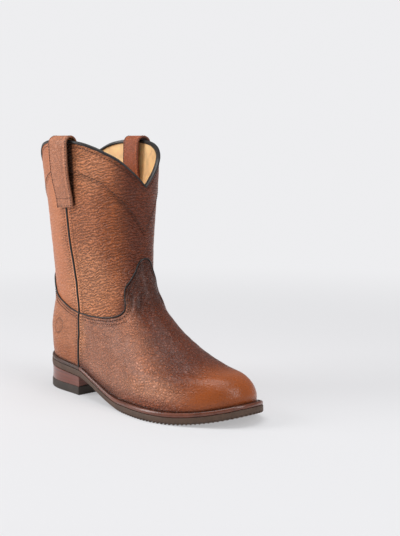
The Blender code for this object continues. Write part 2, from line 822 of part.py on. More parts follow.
def make_material(name, colour, roughness):
    material = bpy.data.materials.new(name)
    material.use_nodes = True
    shader = material.node_tree.nodes["Principled BSDF"]
    shader.inputs["Base Color"].default_value = (*colour, 1.0)
    shader.inputs["Roughness"].default_value = roughness
    shader.inputs["Metallic"].default_value = 0.0
    return material


def centre_on_origin(pieces):
    """Moves the boot so that the origin is at the middle of its box, on the ground."""
    corners = np.array([vertex.co for piece in pieces for vertex in piece.data.vertices])
    middle = (corners.min(axis=0) + corners.max(axis=0)) / 2
    for piece in pieces:
        for vertex in piece.data.vertices:
            vertex.co.x -= middle[0]
            vertex.co.y -= middle[1]


def clear_scene():
    for thing in list(bpy.data.objects):
        bpy.data.objects.remove(thing)


def main():
    clear_scene()
    boot = bpy.data.collections.new("roper_boot")
    bpy.context.scene.collection.children.link(boot)
    leather = make_material("shaft_leather", (0.20, 0.065, 0.025), 0.42)
    strap = make_material("strap_leather", (0.12, 0.045, 0.022), 0.5)
    dark_edge = make_material("dark_edging", (0.018, 0.014, 0.012), 0.45)
    footbed = make_material("insole_leather", (0.55, 0.33, 0.16), 0.6)
    welt = make_material("welt_leather", (0.09, 0.045, 0.03), 0.4)
    sole = make_material("sole_rubber", (0.075, 0.05, 0.038), 0.7)
    stack = make_material("stacked_leather", (0.14, 0.045, 0.025), 0.35)
    lift = make_material("lift_rubber", (0.03, 0.025, 0.022), 0.75)
    pieces = [
        build_upper(leather),
        build_collar_binding(dark_edge),
        build_side_piping("side_piping_outer", OUTER, dark_edge),
        build_side_piping("side_piping_inner", INNER, dark_edge),
        build_vamp_edging(dark_edge),
        build_counter_edging(dark_edge),
        build_strap("pull_strap_outer", OUTER, strap),
        build_strap("pull_strap_inner", INNER, strap),
        build_insole(footbed),
        build_welt(welt),
        build_heel_rand(welt),
        build_outsole(sole),
        build_heel_stack(stack),
        build_heel_lift(lift),
    ]
    centre_on_origin(pieces)


main()
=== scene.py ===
"""Looks of a right roper boot: leather panels, piping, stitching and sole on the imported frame, in metres."""
import math

import bpy
import numpy as np
from bpy.props import FloatProperty, FloatVectorProperty, PointerProperty
from mathutils import Matrix


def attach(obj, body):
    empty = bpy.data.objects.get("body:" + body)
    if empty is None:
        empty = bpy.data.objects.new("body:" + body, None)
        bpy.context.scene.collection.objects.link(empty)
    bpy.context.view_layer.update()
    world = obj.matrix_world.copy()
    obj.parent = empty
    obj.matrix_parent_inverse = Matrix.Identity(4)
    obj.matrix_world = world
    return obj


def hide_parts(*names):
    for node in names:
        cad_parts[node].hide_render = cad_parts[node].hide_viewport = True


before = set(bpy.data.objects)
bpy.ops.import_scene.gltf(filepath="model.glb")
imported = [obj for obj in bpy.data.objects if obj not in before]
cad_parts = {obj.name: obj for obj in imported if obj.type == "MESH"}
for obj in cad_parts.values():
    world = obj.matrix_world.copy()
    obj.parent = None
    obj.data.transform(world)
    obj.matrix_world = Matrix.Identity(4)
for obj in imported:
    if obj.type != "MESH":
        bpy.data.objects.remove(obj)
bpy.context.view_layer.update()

bl_info = {
    "name": "Roper boot",
    "version": (1, 0, 0),
    "blender": (4, 5, 0),
    "location": "View3D > Sidebar > Roper boot",
    "description": "Builds the leather, stitching and sole of a roper boot over its packed solids",
    "category": "Add Mesh",
}

# The last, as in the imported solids
LAST_LENGTH = 0.294
BALL_WIDTH = 0.096
INSTEP_HEIGHT = 0.112
SHAFT_DEPTH = 0.150
SHAFT_WIDTH = 0.104
SHAFT_HEIGHT = 0.2815
VAMP_PEAK = 0.1545
COUNTER_PEAK = 0.149
SIDE_MEETING = 0.0915
OUTSOLE_THICKNESS = 0.0074
WELT_THICKNESS = 0.0044
WELT_LEDGE = 0.0046
HEEL_HEIGHT = 0.021
HEEL_PITCH = 0.0055
HEEL_LENGTH = 0.080
LIFT_HEIGHT = 0.0093
SHANK_SLOPE = 0.16
TREAD_START = 0.175
TREAD_END = 0.235
TOE_SPRING = 0.010
GAP = 0.0003
CENTRE_X = 0.14989375
HEEL_BREAST_CURVE = 0.0025
MEETING_RISE = 0.48
STATION_STEP = 30.0

# Faces of the layers, as distances from the last's surface
VAMP_FACE = 0.0005
SHAFT_FACE = -0.0005
YOKE_FACE = 0.0
LINING_FACE = -0.0025

OUTER = -1
INNER = 1

# Edge of a panel beside the side seam, its sewn line, and the rows of stitches below the overlays' top line
GROOVE = 0.0012 + GAP
FOLD_WIDTH = 0.0056
SEWN_LINE = 0.0052
ROW_DROPS = (0.0028, 0.0072)
LINING_THICKNESS = 0.0005

# Pull straps
STRAP_OVER_COLLAR = 0.0045
STRAP_TOP = SHAFT_HEIGHT + STRAP_OVER_COLLAR
STRAP_OUTER_LENGTH = 0.077
STRAP_INNER_LENGTH = 0.066
STRAP_ARCH = 0.0090
STRAP_HALF = 0.0145
STRAP_THICKNESS = 0.0024
STRAP_LEAN = 0.0045
STRAP_STANDOFF = 0.0050
STRAP_ROW_INSET = 0.0018
STRAP_LEG = ((0.0, 0.0), (0.13, 0.0), (0.26, 0.20), (0.40, 0.50), (0.56, 0.78), (0.74, 0.95), (1.0, 1.0))
# Tones of the outer and inner strap; the inner one is darker as painted shade.
STRAP_TONES = {OUTER: "C07C5A", INNER: "A85A36"}

# Sides of the heel's stack and lift, as (share of the height, share of the welt's ledge)
STACK_SIDE = (
    (0.0, 0.83), (0.03, 0.87), (0.12, 0.81), (0.25, 0.76), (0.4, 0.73), (0.55, 0.72), (0.7, 0.75),
    (0.82, 0.80), (0.95, 0.88), (1.0, 0.87),
)
LIFT_SIDE = ((0.0, 0.78), (0.03, 0.92), (0.10, 1.0), (0.5, 1.01), (0.93, 0.97), (1.0, 0.92))

# The camera stands at the outer side of the toe and looks a little down
CAMERA_PLACE = (0.8925, -0.7521, 0.285)
CAMERA_AHEAD = (-0.7314, 0.6820)
CAMERA_PITCH = 6.84
CAMERA_FOCUS = 1095.7 / 536
SENSOR = 36

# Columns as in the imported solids: follow, back x, back z, front x, front z, half widths at 0 to 180 degrees
FOOT_RINGS = (
    (1.00, 0.010, 0.000, 1.000, 0.000, 0.690, 0.580, 0.410, 0.390, 0.580, 0.690, 0.750),
    (1.00, 0.005, 0.080, 0.997, 0.080, 0.700, 0.590, 0.415, 0.390, 0.575, 0.700, 0.760),
    (0.95, 0.000, 0.195, 0.980, 0.180, 0.690, 0.580, 0.410, 0.385, 0.550, 0.670, 0.740),
    (0.84, -0.004, 0.320, 0.942, 0.280, 0.680, 0.560, 0.405, 0.375, 0.515, 0.625, 0.700),
    (0.66, -0.005, 0.445, 0.878, 0.360, 0.635, 0.530, 0.390, 0.370, 0.470, 0.545, 0.615),
    (0.48, -0.003, 0.570, 0.791, 0.475, 0.590, 0.490, 0.380, 0.365, 0.420, 0.475, 0.515),
    (0.34, 0.000, 0.695, 0.702, 0.610, 0.525, 0.450, 0.370, 0.360, 0.395, 0.430, 0.460),
    (0.20, 0.005, 0.820, 0.614, 0.785, 0.480, 0.410, 0.365, 0.355, 0.380, 0.395, 0.405),
    (0.08, 0.007, 0.945, 0.551, 1.000, 0.450, 0.395, 0.370, 0.365, 0.380, 0.380, 0.380),
)
SHAFT_RINGS = (
    (0.00, 0.017, 0.080, 1.020, 0.147, 0.415, 0.375, 0.355, 0.355, 0.365, 0.365, 0.365),
    (0.00, 0.017, 0.194, 0.997, 0.254, 0.438, 0.400, 0.380, 0.375, 0.395, 0.400, 0.400),
    (0.00, 0.017, 0.336, 0.990, 0.400, 0.475, 0.438, 0.420, 0.415, 0.430, 0.438, 0.438),
    (0.00, 0.010, 0.536, 1.000, 0.590, 0.530, 0.490, 0.463, 0.455, 0.466, 0.470, 0.470),
    (0.00, -0.010, 0.764, 1.013, 0.802, 0.585, 0.543, 0.513, 0.500, 0.500, 0.500, 0.500),
    (0.00, -0.040, 1.070, 1.023, 1.070, 0.635, 0.580, 0.550, 0.540, 0.530, 0.525, 0.525),
)
SWING = (0.0, 0.0, -0.016, -0.083, -0.042, 0.073, 0.094)
SIDE_SEAM = (
    (0.00, 61.2), (0.12, 62.5), (0.18, 63.8), (0.25, 66.0), (0.31, 68.7), (0.375, 72.5),
    (0.42, 75.7), (0.48, 80.5), (0.56, 85.8), (0.65, 88.7), (0.80, 88.5), (1.00, 88.9),
)
OVERLAY_LINE = (
    (0, 1.00), (6, 0.95), (12, 0.845), (20, 0.65), (28, 0.57), (34, 0.47), (38, 0.34), (42, 0.27),
    (50, 0.19), (58, 0.13), (68, 0.045), (80, 0.0), (96, -0.02), (111, -0.01), (125, 0.04),
    (133, 0.11), (138, 0.215), (141.5, 0.40), (145, 0.52), (151, 0.61), (163, 0.80), (168, 0.91),
    (174, 0.98), (180, 1.00),
)
YOKE_LINE = (
    (0, 0.20), (16, 0.343), (32, 0.469), (55, 0.634), (73, 0.713), (88, 0.736), (104, 0.713),
    (126, 0.645), (143, 0.531), (158, 0.409), (180, 0.20),
)
COLLAR_LINE = (
    (0, 0.614), (15, 0.700), (29, 0.787), (43, 0.882), (61, 0.969), (75, 0.992), (88, 1.000),
    (100, 0.990), (112, 0.972), (124, 0.937), (136, 0.888), (149, 0.827), (161, 0.748), (180, 0.614),
)
BOTTOM_PROFILE = (
    (0.00, 0.92, 1.18, 0.75), (0.27, 0.92, 0.84, 0.63), (0.37, 0.72, 0.86, 0.66),
    (0.50, 0.74, 0.92, 0.80), (0.62, 1.00, 1.00, 1.00), (0.88, 1.00, 1.00, 1.13),
    (1.00, 1.00, 1.00, 1.74),
)

# The leather's tones, the pale one used for painted sheen, and the ridge of the instep as its x and z
TONES = {
    "pale": "E09468", "tan": "C6784E", "rose": "B87759", "umber": "B8724C", "ginger": "9E5020", "russet": "8C401C",
    "deep_brown": "6E3218", "dark": "522614",
}
RIDGE = ((-0.012, 0.018, 0.046, 0.074, 0.102, 0.130), (0.142, 0.102, 0.079, 0.062, 0.049, 0.040))
BADGE_X, BADGE_Z = -0.116, 0.072

# Creases of the vamp: middle x and z, direction, half width, half length, height
VAMP_CREASES = (
    (0.0042, 0.109, (-0.24, 0.97), 0.0018, 0.012, 0.0010),
    (0.0082, 0.108, (-0.24, 0.97), 0.0015, 0.011, -0.0008),
    (0.0002, 0.110, (-0.24, 0.97), 0.0013, 0.012, -0.0007),
    (0.0145, 0.106, (-0.57, 0.82), 0.0018, 0.009, 0.0006),
    (0.0020, 0.132, (-0.10, 1.00), 0.0015, 0.010, -0.0006),
    (0.0250, 0.088, (-0.80, 0.60), 0.0022, 0.010, 0.0005),
)


# The shape of the last


def catmull_rom(part):
    """Weights of four neighbours for a place between the middle two."""
    return (
        part * (-1 + part * (2 - part)) / 2,
        (2 + part * part * (3 * part - 5)) / 2,
        part * (1 + part * (4 - 3 * part)) / 2,
        part * part * (part - 1) / 2,
    )


def curve_through(table, places, column=1):
    """A smooth curve through a table's rows that never swings past them."""
    table = np.array(table, float)
    knots, values = table[:, 0], table[:, column]
    steps = np.diff(knots)
    slopes = np.diff(values) / steps
    turning = slopes[:-1] * slopes[1:]
    inner = np.where(turning > 0, 2 * turning / np.where(turning > 0, slopes[:-1] + slopes[1:], 1), 0)
    tangents = np.concatenate([slopes[:1], inner, slopes[-1:]])
    places = np.clip(np.asarray(places, float), knots[0], knots[-1])
    index = np.clip(np.searchsorted(knots, places) - 1, 0, len(knots) - 2)
    step = steps[index]
    part = (places - knots[index]) / step
    keep = (1 - part) ** 2 * (1 + 2 * part)
    bend = part * (1 - part) * ((1 - part) * tangents[index] - part * tangents[index + 1])
    return keep * values[index] + (1 - keep) * values[index + 1] + step * bend


def sole_bottom(x):
    """Height of the sole's underside at a distance from the heel's back."""
    x = np.asarray(x, float)
    seat = HEEL_HEIGHT + HEEL_PITCH * (HEEL_LENGTH - x) / HEEL_LENGTH
    shank = TREAD_START - HEEL_LENGTH
    part = np.clip((x - HEEL_LENGTH) / shank, 0, 1)
    waist = HEEL_HEIGHT * (1 - part) ** 2 * (1 + 2 * part) - SHANK_SLOPE * shank * part * (1 - part) ** 2
    toe_length = LAST_LENGTH + WELT_LEDGE - TREAD_END
    spring = TOE_SPRING * (np.maximum(x - TREAD_END, 0) / toe_length) ** 2
    return np.where(x < HEEL_LENGTH, seat, waist + spring)


def bottom_share(x, column):
    """A column of the bottom's profile: share of the sole's, the welt's thickness or the ledge."""
    return curve_through(BOTTOM_PROFILE, np.asarray(x) / LAST_LENGTH, column)


def sole_top(x):
    return sole_bottom(x) + OUTSOLE_THICKNESS * bottom_share(x, 1)


def welt_top(x):
    return sole_top(x) + GAP + WELT_THICKNESS * bottom_share(x, 2)


def ring_table():
    """The last's rings in metres, with one more beyond each end."""
    foot = np.array(FOOT_RINGS)
    foot[:, [1, 3]] *= LAST_LENGTH
    foot[:, [2, 4]] *= INSTEP_HEIGHT
    foot[:, 5:] *= BALL_WIDTH
    shaft = np.array(SHAFT_RINGS)
    shaft[:, [1, 3]] *= SHAFT_DEPTH
    for column in (2, 4):
        ankle = foot[-1, column]
        shaft[:, column] = ankle + (SHAFT_HEIGHT - ankle) * shaft[:, column]
    shaft[:, 5:] *= SHAFT_WIDTH
    rings = np.concatenate([foot, shaft])
    return np.concatenate([[2 * rings[0] - rings[1]], rings, [2 * rings[-1] - rings[-2]]])


RINGS = ring_table()


def at_station(values, angle):
    """A ring's value at an angle, from its values at the stations."""
    last = values.shape[-1] - 1
    place = angle / STATION_STEP
    start = np.clip(place.astype(int), 0, last - 1)
    total = 0.0
    for shift, weight in zip((-1, 0, 1, 2), catmull_rom(place - start)):
        index = np.abs(start + shift)
        index = np.where(index > last, 2 * last - index, index)
        total = total + weight * np.take_along_axis(values, index[..., None], -1)[..., 0]
    return total


def surface(angle, rise, side):
    """A point on the last: angle 0 at the back to 180 in front, rise 0 at the welt to 1 at the collar."""
    angle, rise = np.broadcast_arrays(np.asarray(angle, float), np.asarray(rise, float))
    place = rise * (len(RINGS) - 3)
    start = np.clip(place.astype(int), 0, len(RINGS) - 4)
    ring = 0.0
    for shift, weight in zip((0, 1, 2, 3), catmull_rom(place - start)):
        ring = ring + weight[..., None] * RINGS[start + shift]
    follow, back_x, back_z, front_x, front_z = np.moveaxis(ring[..., :5], -1, 0)
    half_width = at_station(ring[..., 5:], angle)
    swing = np.broadcast_to(np.array(SWING) * BALL_WIDTH, angle.shape + (len(SWING),))
    middle = at_station(swing, angle) * np.maximum(follow, 0) ** 0.8
    turn = np.radians(angle)
    forward = (1 - np.cos(turn)) / 2
    x = back_x + (front_x - back_x) * forward
    z = follow * (welt_top(x) + GAP) + back_z + (front_z - back_z) * forward
    return np.stack([x - CENTRE_X, middle + side * half_width * np.sin(turn), z], -1)


def along_ring(angle, rise, side):
    """Metres along the ring for each degree."""
    return (surface(angle + 0.05, rise, side) - surface(angle - 0.05, rise, side)) / 0.1


def outward(angle, rise, side):
    """The surface's outward direction."""
    upward = surface(angle, rise + 0.002, side) - surface(angle, rise - 0.002, side)
    normal = np.reshape(side, np.shape(side) + (1,)) * np.cross(upward, along_ring(angle, rise, side))
    return normal / np.linalg.norm(normal, axis=-1, keepdims=True)


def lifted(angle, rise, side, offset):
    """A point at a distance outside the surface."""
    angle, rise, side, offset = np.broadcast_arrays(angle, rise, side, offset)
    return surface(angle, rise, side) + offset[..., None] * outward(angle, rise, side)


HEIGHT_ANGLES = np.arange(0, 181.0)
HEIGHT_RISES = np.linspace(0, 1, 141)
HEIGHTS = surface(HEIGHT_ANGLES[:, None], HEIGHT_RISES[None], OUTER)[..., 2]


def rise_at(angle, height):
    """The rise at which the surface reaches a height, for each angle."""
    angle, height = np.broadcast_arrays(np.asarray(angle, float), np.asarray(height, float))
    start = np.clip(angle.astype(int), 0, 179)
    part = (angle - start)[..., None]
    column = HEIGHTS[start] * (1 - part) + HEIGHTS[start + 1] * part
    index = np.clip((column < height[..., None]).sum(-1) - 1, 0, len(HEIGHT_RISES) - 2)
    low = np.take_along_axis(column, index[..., None], -1)[..., 0]
    high = np.take_along_axis(column, index[..., None] + 1, -1)[..., 0]
    return np.clip((index + (height - low) / (high - low)) / (len(HEIGHT_RISES) - 1), 0, 1)


def feather_line(angle):
    """Height at which the upper meets the welt."""
    return surface(angle, 0.0, OUTER)[..., 2]


def overlay_line(angle):
    """Height of the top line of the counter and the vamp."""
    turnover = curve_through(SIDE_SEAM, MEETING_RISE)
    peak = np.where(angle < turnover, COUNTER_PEAK, VAMP_PEAK)
    return SIDE_MEETING + curve_through(OVERLAY_LINE, angle) * (peak - SIDE_MEETING)


def yoke_line(angle):
    return VAMP_PEAK + curve_through(YOKE_LINE, angle) * (SHAFT_HEIGHT - VAMP_PEAK)


def collar_line(angle):
    return VAMP_PEAK + curve_through(COLLAR_LINE, angle) * (SHAFT_HEIGHT - VAMP_PEAK)


def seam_angle(rise):
    return curve_through(SIDE_SEAM, rise)


def seam_reach(rise):
    """Degrees that one metre along the ring takes at the side seam."""
    return 1 / np.linalg.norm(along_ring(seam_angle(rise), rise, OUTER), axis=-1)


def smooth(value, low, high):
    """A soft step from 0 below low to 1 above high."""
    part = np.clip((value - low) / (high - low), 0, 1)
    return part * part * (3 - 2 * part)


def bump_at(value, middle, width):
    """A soft hump of height 1."""
    return np.exp(-(((value - middle) / width) ** 2))


NOISE_LATTICE = np.random.RandomState(7).rand(32, 32, 32)


def lumps(points, size):
    """Smooth seeded noise from -1 to 1; size is the length of one lump, or one for each axis."""
    place = points / np.asarray(size)
    start = np.floor(place).astype(int)
    part = place - start
    part = part * part * (3 - 2 * part)
    total = 0.0
    for corner in np.ndindex(2, 2, 2):
        weight = np.prod(np.where(corner, part, 1 - part), axis=-1)
        index = (start + corner) % 32
        total = total + weight * NOISE_LATTICE[index[..., 0], index[..., 1], index[..., 2]]
    return 2 * total - 1


def linear(code):
    """A colour written as six hex digits, in Blender's linear values."""
    values = np.array([int(code[place : place + 2], 16) for place in (0, 2, 4)]) / 255
    return np.where(values < 0.04045, values / 12.92, ((values + 0.055) / 1.055) ** 2.4)


def coat(points, tone):
    """One even coat of a tone."""
    return np.ones(points.shape) * linear(TONES[tone])


def worn(colours, tone, share):
    """Lays a tone over colours, by a share from 0 to 1."""
    return colours + share[..., None] * (linear(TONES[tone]) - colours)


def patch(points, x, z, wide, high):
    """A soft oval round a place, in millimetres."""
    away = ((points[..., 0] * 1000 - x) / wide) ** 2 + ((points[..., 2] * 1000 - z) / high) ** 2
    return np.exp(-(away**2))


# Pieces


def deselect():
    if bpy.context.object and bpy.context.object.mode != "OBJECT":
        bpy.ops.object.mode_set(mode="OBJECT")
    bpy.ops.object.select_all(action="DESELECT")


def grid_sheet(name, points, material, colours=None, grain=None):
    """A grid primitive shaped through rows of points, with its doubles merged where rows or columns meet."""
    rows, columns = points.shape[:2]
    deselect()
    bpy.ops.mesh.primitive_grid_add(x_subdivisions=columns - 1, y_subdivisions=rows - 1, size=1)
    piece = bpy.context.object
    piece.name = name
    mesh = piece.data
    mesh.name = name
    mesh.vertices.foreach_set("co", points.reshape(-1).astype(np.float32))
    count = rows * columns
    paint = mesh.color_attributes.new("paint", "FLOAT_COLOR", "POINT")
    values = np.ones((count, 4), np.float32)
    if colours is not None:
        values[:, :3] = colours.reshape(-1, 3)
    paint.data.foreach_set("color", values.reshape(-1))
    strength = mesh.attributes.new("grain", "FLOAT", "POINT")
    values = np.ones(count, np.float32) if grain is None else grain.reshape(-1).astype(np.float32)
    strength.data.foreach_set("value", values)
    mesh.update()
    mesh.materials.append(material)
    bpy.ops.object.mode_set(mode="EDIT")
    bpy.ops.mesh.select_all(action="SELECT")
    bpy.ops.mesh.remove_doubles(threshold=0.00002)
    bpy.ops.object.mode_set(mode="OBJECT")
    return piece


def close_solid(piece, angle=40):
    """Points a closed piece's faces outwards and shades it smooth."""
    bpy.ops.object.mode_set(mode="EDIT")
    bpy.ops.mesh.select_all(action="SELECT")
    bpy.ops.mesh.normals_make_consistent(inside=False)
    bpy.ops.object.mode_set(mode="OBJECT")
    bpy.ops.object.shade_smooth_by_angle(angle=math.radians(angle))


def thicken(piece, thickness, angle=40):
    """Gives an open sheet its leather's thickness on the side away from its face."""
    wall = piece.modifiers.new("thickness", "SOLIDIFY")
    wall.thickness = thickness
    wall.offset = -1
    wall.use_rim = True
    bpy.ops.object.modifier_apply(modifier=wall.name)
    bpy.ops.object.shade_smooth_by_angle(angle=math.radians(angle))


def finish_piece(piece, slot, *nodes):
    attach(piece, "root")
    if nodes:
        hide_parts(*nodes)


def ring_loft(name, rings, material, closed=True, angle=40, colours=None):
    """A closed tube through rings; rings[i, j] is point j of ring i, and the first ring may follow the last."""

    def joined(values):
        values = np.concatenate([values, values[:, :1]], axis=1)
        if closed:
            return np.concatenate([values, values[:1]])
        first, last = (
            np.repeat(ring[None, :-1].mean(axis=1, keepdims=True), values.shape[1], axis=1)
            for ring in (values[0], values[-1])
        )
        return np.concatenate([first, values, last])

    piece = grid_sheet(name, joined(rings), material, None if colours is None else joined(colours))
    close_solid(piece, angle)
    return piece


# Panels of the upper

PANEL_EDGE = np.array([0, 0.2, 0.5, 0.9, 1.4, 2.0, 2.7, 3.3, 3.8, 4.3, 4.7, 5.1, 5.6, 6.2, 7.0]) / 1000


def panel_places(front, low, high, shares, gap, columns):
    """Angles, rises and distances from the side seam of half a panel, from the seam to the centre line."""
    way = 1 if front else -1
    even = np.arange(1, columns + 1) / columns
    rise = np.full((len(shares), len(PANEL_EDGE) + columns), 0.5)
    for _ in range(6):
        seam = seam_angle(rise)
        reach = seam_reach(rise)
        edge = seam + way * (gap + np.concatenate([PANEL_EDGE, np.full(columns, PANEL_EDGE[-1])])) * reach
        angles = edge.copy()
        centre = 180.0 if front else 0.0
        angles[:, len(PANEL_EDGE) :] += (centre - edge[:, len(PANEL_EDGE) :]) * even
        start = rise_at(angles, low(angles)) if low else 0.0
        rise = start + shares[:, None] * (rise_at(angles, high(angles)) - start)
    across = way * (angles - seam_angle(rise)) / seam_reach(rise) - gap
    return angles, rise, across


def folded_edge(across):
    """Relief of the turned and stitched edge beside the side seam."""
    fold = smooth(across, -0.0004, 0.0008) * (1 - smooth(across, 0.0045, FOLD_WIDTH))
    return 0.0006 * fold - 0.00012 * bump_at(across, 0.0033, 0.0006)


def fold_share(across):
    """1 on the turned edge beside the side seam, 0 away from it."""
    return smooth(across, -0.0004, 0.0004) * (1 - smooth(across, 0.0040, FOLD_WIDTH))


def fold_crease(across):
    """1 in the crease where the turned edge ends, where shade is painted."""
    return bump_at(across, SEWN_LINE, 0.0007)[..., None]


def panel(name, front, low, high, shares, columns, relief, paint, material):
    """A sheet of the upper between the side seams, mirrored over the centre line."""
    angles, rise, across = panel_places(front, low, high, shares, GROOVE, columns)
    angles = np.concatenate([angles, angles[:, -2::-1]], 1)
    rise = np.concatenate([rise, rise[:, -2::-1]], 1)
    across = np.concatenate([across, across[:, -2::-1]], 1)
    half = across.shape[1] // 2
    side = np.where(np.arange(across.shape[1]) <= half, OUTER, INNER)[None] * np.ones_like(rise)
    points = surface(angles, rise, side)
    offset = relief(points, angles, rise, across, side)
    points = points + offset[..., None] * outward(angles, rise, side)
    if not front:
        points, angles, across, side = (values[:, ::-1] for values in (points, angles, across, side))
    colours, grain = paint(points, angles, across, side)
    return grid_sheet(name, points, material, colours, grain)


def stitch_row_shade(distance, *rows):
    """Painted shade in the sunken rows of stitches, at their distances below an edge."""
    return sum(bump_at(distance, row, 0.0006) for row in rows)[..., None]


def shaft_paint(points, angles, across, side):
    """Tan with painted sheen on its side, and painted shade towards the front, under the yoke's step, along the sewn
    rows, in the crease by the seam and beside the straps.
    """
    x, z = points[..., 0], points[..., 2]
    way = 1 if angles.max() > 170 else -1
    colours = coat(points, "tan")
    colours = worn(colours, "umber", 1 - smooth(x, -0.145, -0.120))
    # Painted sheen: pale patches where the soft light shines on the side of the shaft and near its top.
    colours = worn(colours, "pale", 0.8 * patch(points, -56, 124, 36, 42) + 0.2 * patch(points, -96, 205, 14, 40))
    colours = worn(colours, "pale", 0.6 * patch(points, -42, 252, 26, 26))
    colours = worn(colours, "ginger", 0.8 * patch(points, -17, 186, 18, 60))
    # Painted shade: the front of the shaft is darker, as on its side away from the key light.
    colours = worn(colours, "deep_brown", smooth(x, -0.020, -0.003))
    # Painted shadow under the yoke's step, and painted shade along the rows of stitches below the yoke and the collar.
    below = yoke_line(angles) - z
    colours = colours * (1 - 0.45 * bump_at(below, 0.0004, 0.0008)[..., None] - 0.25 * stitch_row_shade(below, -0.0022))
    colours = colours * (1 - 0.25 * stitch_row_shade(collar_line(angles) - z, 0.0056))
    edge = fold_share(across)
    # Painted shade on the shaft beside and under each pull strap; the turned edge is a little lighter.
    lean = np.where(side == OUTER, STRAP_LEAN, 0.0) * smooth(z, STRAP_TOP - 0.070, STRAP_TOP)
    beside = across + GROOVE - way * lean - STRAP_HALF
    dark = (1 - smooth(beside, 0.0005, 0.0032)) * smooth(z, STRAP_TOP - 0.078, STRAP_TOP - 0.070)
    colours = colours * (1 - 0.85 * dark[..., None]) * (1 + 0.10 * edge[..., None])
    # Painted shade in the crease where the turned edge ends.
    colours = colours * (1 - 0.35 * fold_crease(across))
    grain = 1.0 - 0.75 * edge - 0.2 * smooth(x, -0.035, 0.0)
    back = 1 - smooth(x, -0.10, -0.075)
    return colours, np.clip(grain * (1 - 0.75 * back), 0.05, 1)


def foot_shade(points, angles):
    """Painted shade in the crevice where the upper meets the welt."""
    return 1 - 0.65 * (1 - smooth(points[..., 2] - feather_line(angles), 0.0003, 0.0030))[..., None]


def vamp_paint(points, angles, across, side):
    """Rose brown, dark on the ridge and in the throat, ginger on the toe; painted sheen, a painted highlight on a
    crease and painted shade at the rows, the seam's crease and the welt.
    """
    x, z = points[..., 0], points[..., 2]
    low = 1 - smooth(z - feather_line(angles), 0.002, 0.015)
    # Darker on and just below the ridge of the instep.
    ridge_darkening = 1 - smooth(np.interp(x, *RIDGE) - z, 0.006, 0.030)
    colours = coat(points, "rose")
    # Painted sheen: pale patches of light on the side of the vamp and along its low front.
    colours = worn(colours, "pale", 0.8 * patch(points, -70, 72, 14, 28) + 0.35 * patch(points, 64, 33, 48, 9))
    colours = worn(colours, "deep_brown", np.maximum(0.85 * low * (1 - smooth(x, 0.0, 0.03)), ridge_darkening))
    colours = worn(colours, "russet", 0.85 * low * smooth(x, 0.0, 0.03))
    colours = worn(colours, "deep_brown", 0.5 * patch(points, -18, 93, 16, 9))
    throat = 0.85 * smooth(z, 0.094, 0.120)
    colours = worn(colours, "dark", np.maximum(ridge_darkening * (1 - smooth(x, -0.004, 0.024)), throat))
    colours = worn(colours, "ginger", 0.9 * smooth(x, 0.084, 0.122))
    # Painted shade along the two sunken rows of stitches; the band above them is a little lighter.
    below = overlay_line(angles) - z
    band = (smooth(below, -0.001, 0.001) * (1 - smooth(below, 0.0075, 0.009)))[..., None]
    colours = colours * (1 + 0.12 * band - 0.4 * stitch_row_shade(below, *ROW_DROPS))
    edge = fold_share(across)
    # Painted shade in the crease where the turned edge ends; the turned edge is a little lighter.
    colours = colours * (1 + 0.08 * edge[..., None] - 0.3 * fold_crease(across))
    # Painted highlight along the ridge of a crease in the throat, with painted shade in the hollows beside it.
    aside = x - 0.0014 - (0.120 - z) * 0.25
    crease_shading = bump_at(aside, 0.0, 0.0014) - 0.5 * bump_at(aside, 0.0036, 0.0016)
    crease_shading = crease_shading - 0.5 * bump_at(aside, -0.0034, 0.0016)
    colours = colours * (1 + 0.6 * (crease_shading * bump_at(z, 0.109, 0.011))[..., None])
    colours = colours * foot_shade(points, angles)
    toe = smooth(x, 0.075, 0.125)
    return colours, np.clip(1 - 0.85 * toe - 0.5 * edge, 0.06, 1)


def badge_rim(points, side):
    """The bare round badge pressed into the outer side of the counter, 1 along its rim."""
    away = np.hypot(points[..., 0] - BADGE_X, points[..., 2] - BADGE_Z)
    return (bump_at(away, 0.0080, 0.0014) + 0.4 * bump_at(away, 0.0048, 0.0011)) * (side == OUTER)


def counter_paint(points, angles, across, side):
    """Umber, ginger towards the sole, with painted shade along the sewn rows, in the crease by the seam and by the
    welt.
    """
    colours = coat(points, "umber")
    colours = worn(colours, "ginger", 0.6 * (1 - smooth(points[..., 2] - feather_line(angles), 0.004, 0.030)))
    below = overlay_line(angles) - points[..., 2]
    # Painted shade along the sunken rows of stitches; the badge's rim is darker.
    colours = colours * (1 - 0.3 * stitch_row_shade(below, *ROW_DROPS) - 0.42 * badge_rim(points, side)[..., None])
    edge = fold_share(across)
    # Painted shade in the crease beside the seam and where the upper meets the welt.
    colours = colours * (1 - 0.3 * fold_crease(across)) * foot_shade(points, angles)
    return colours, np.clip(0.35 - 0.2 * edge, 0.05, 1)


def top_edge(points, angles):
    """Depth below the top line of vamp or counter, and the relief of its edge and its two sewn rows."""
    below = overlay_line(angles) - points[..., 2]
    rows = sum(bump_at(below, drop, 0.0006) for drop in ROW_DROPS)
    return below, -0.0006 * bump_at(below, 0.0, 0.0006) - 0.00028 * rows


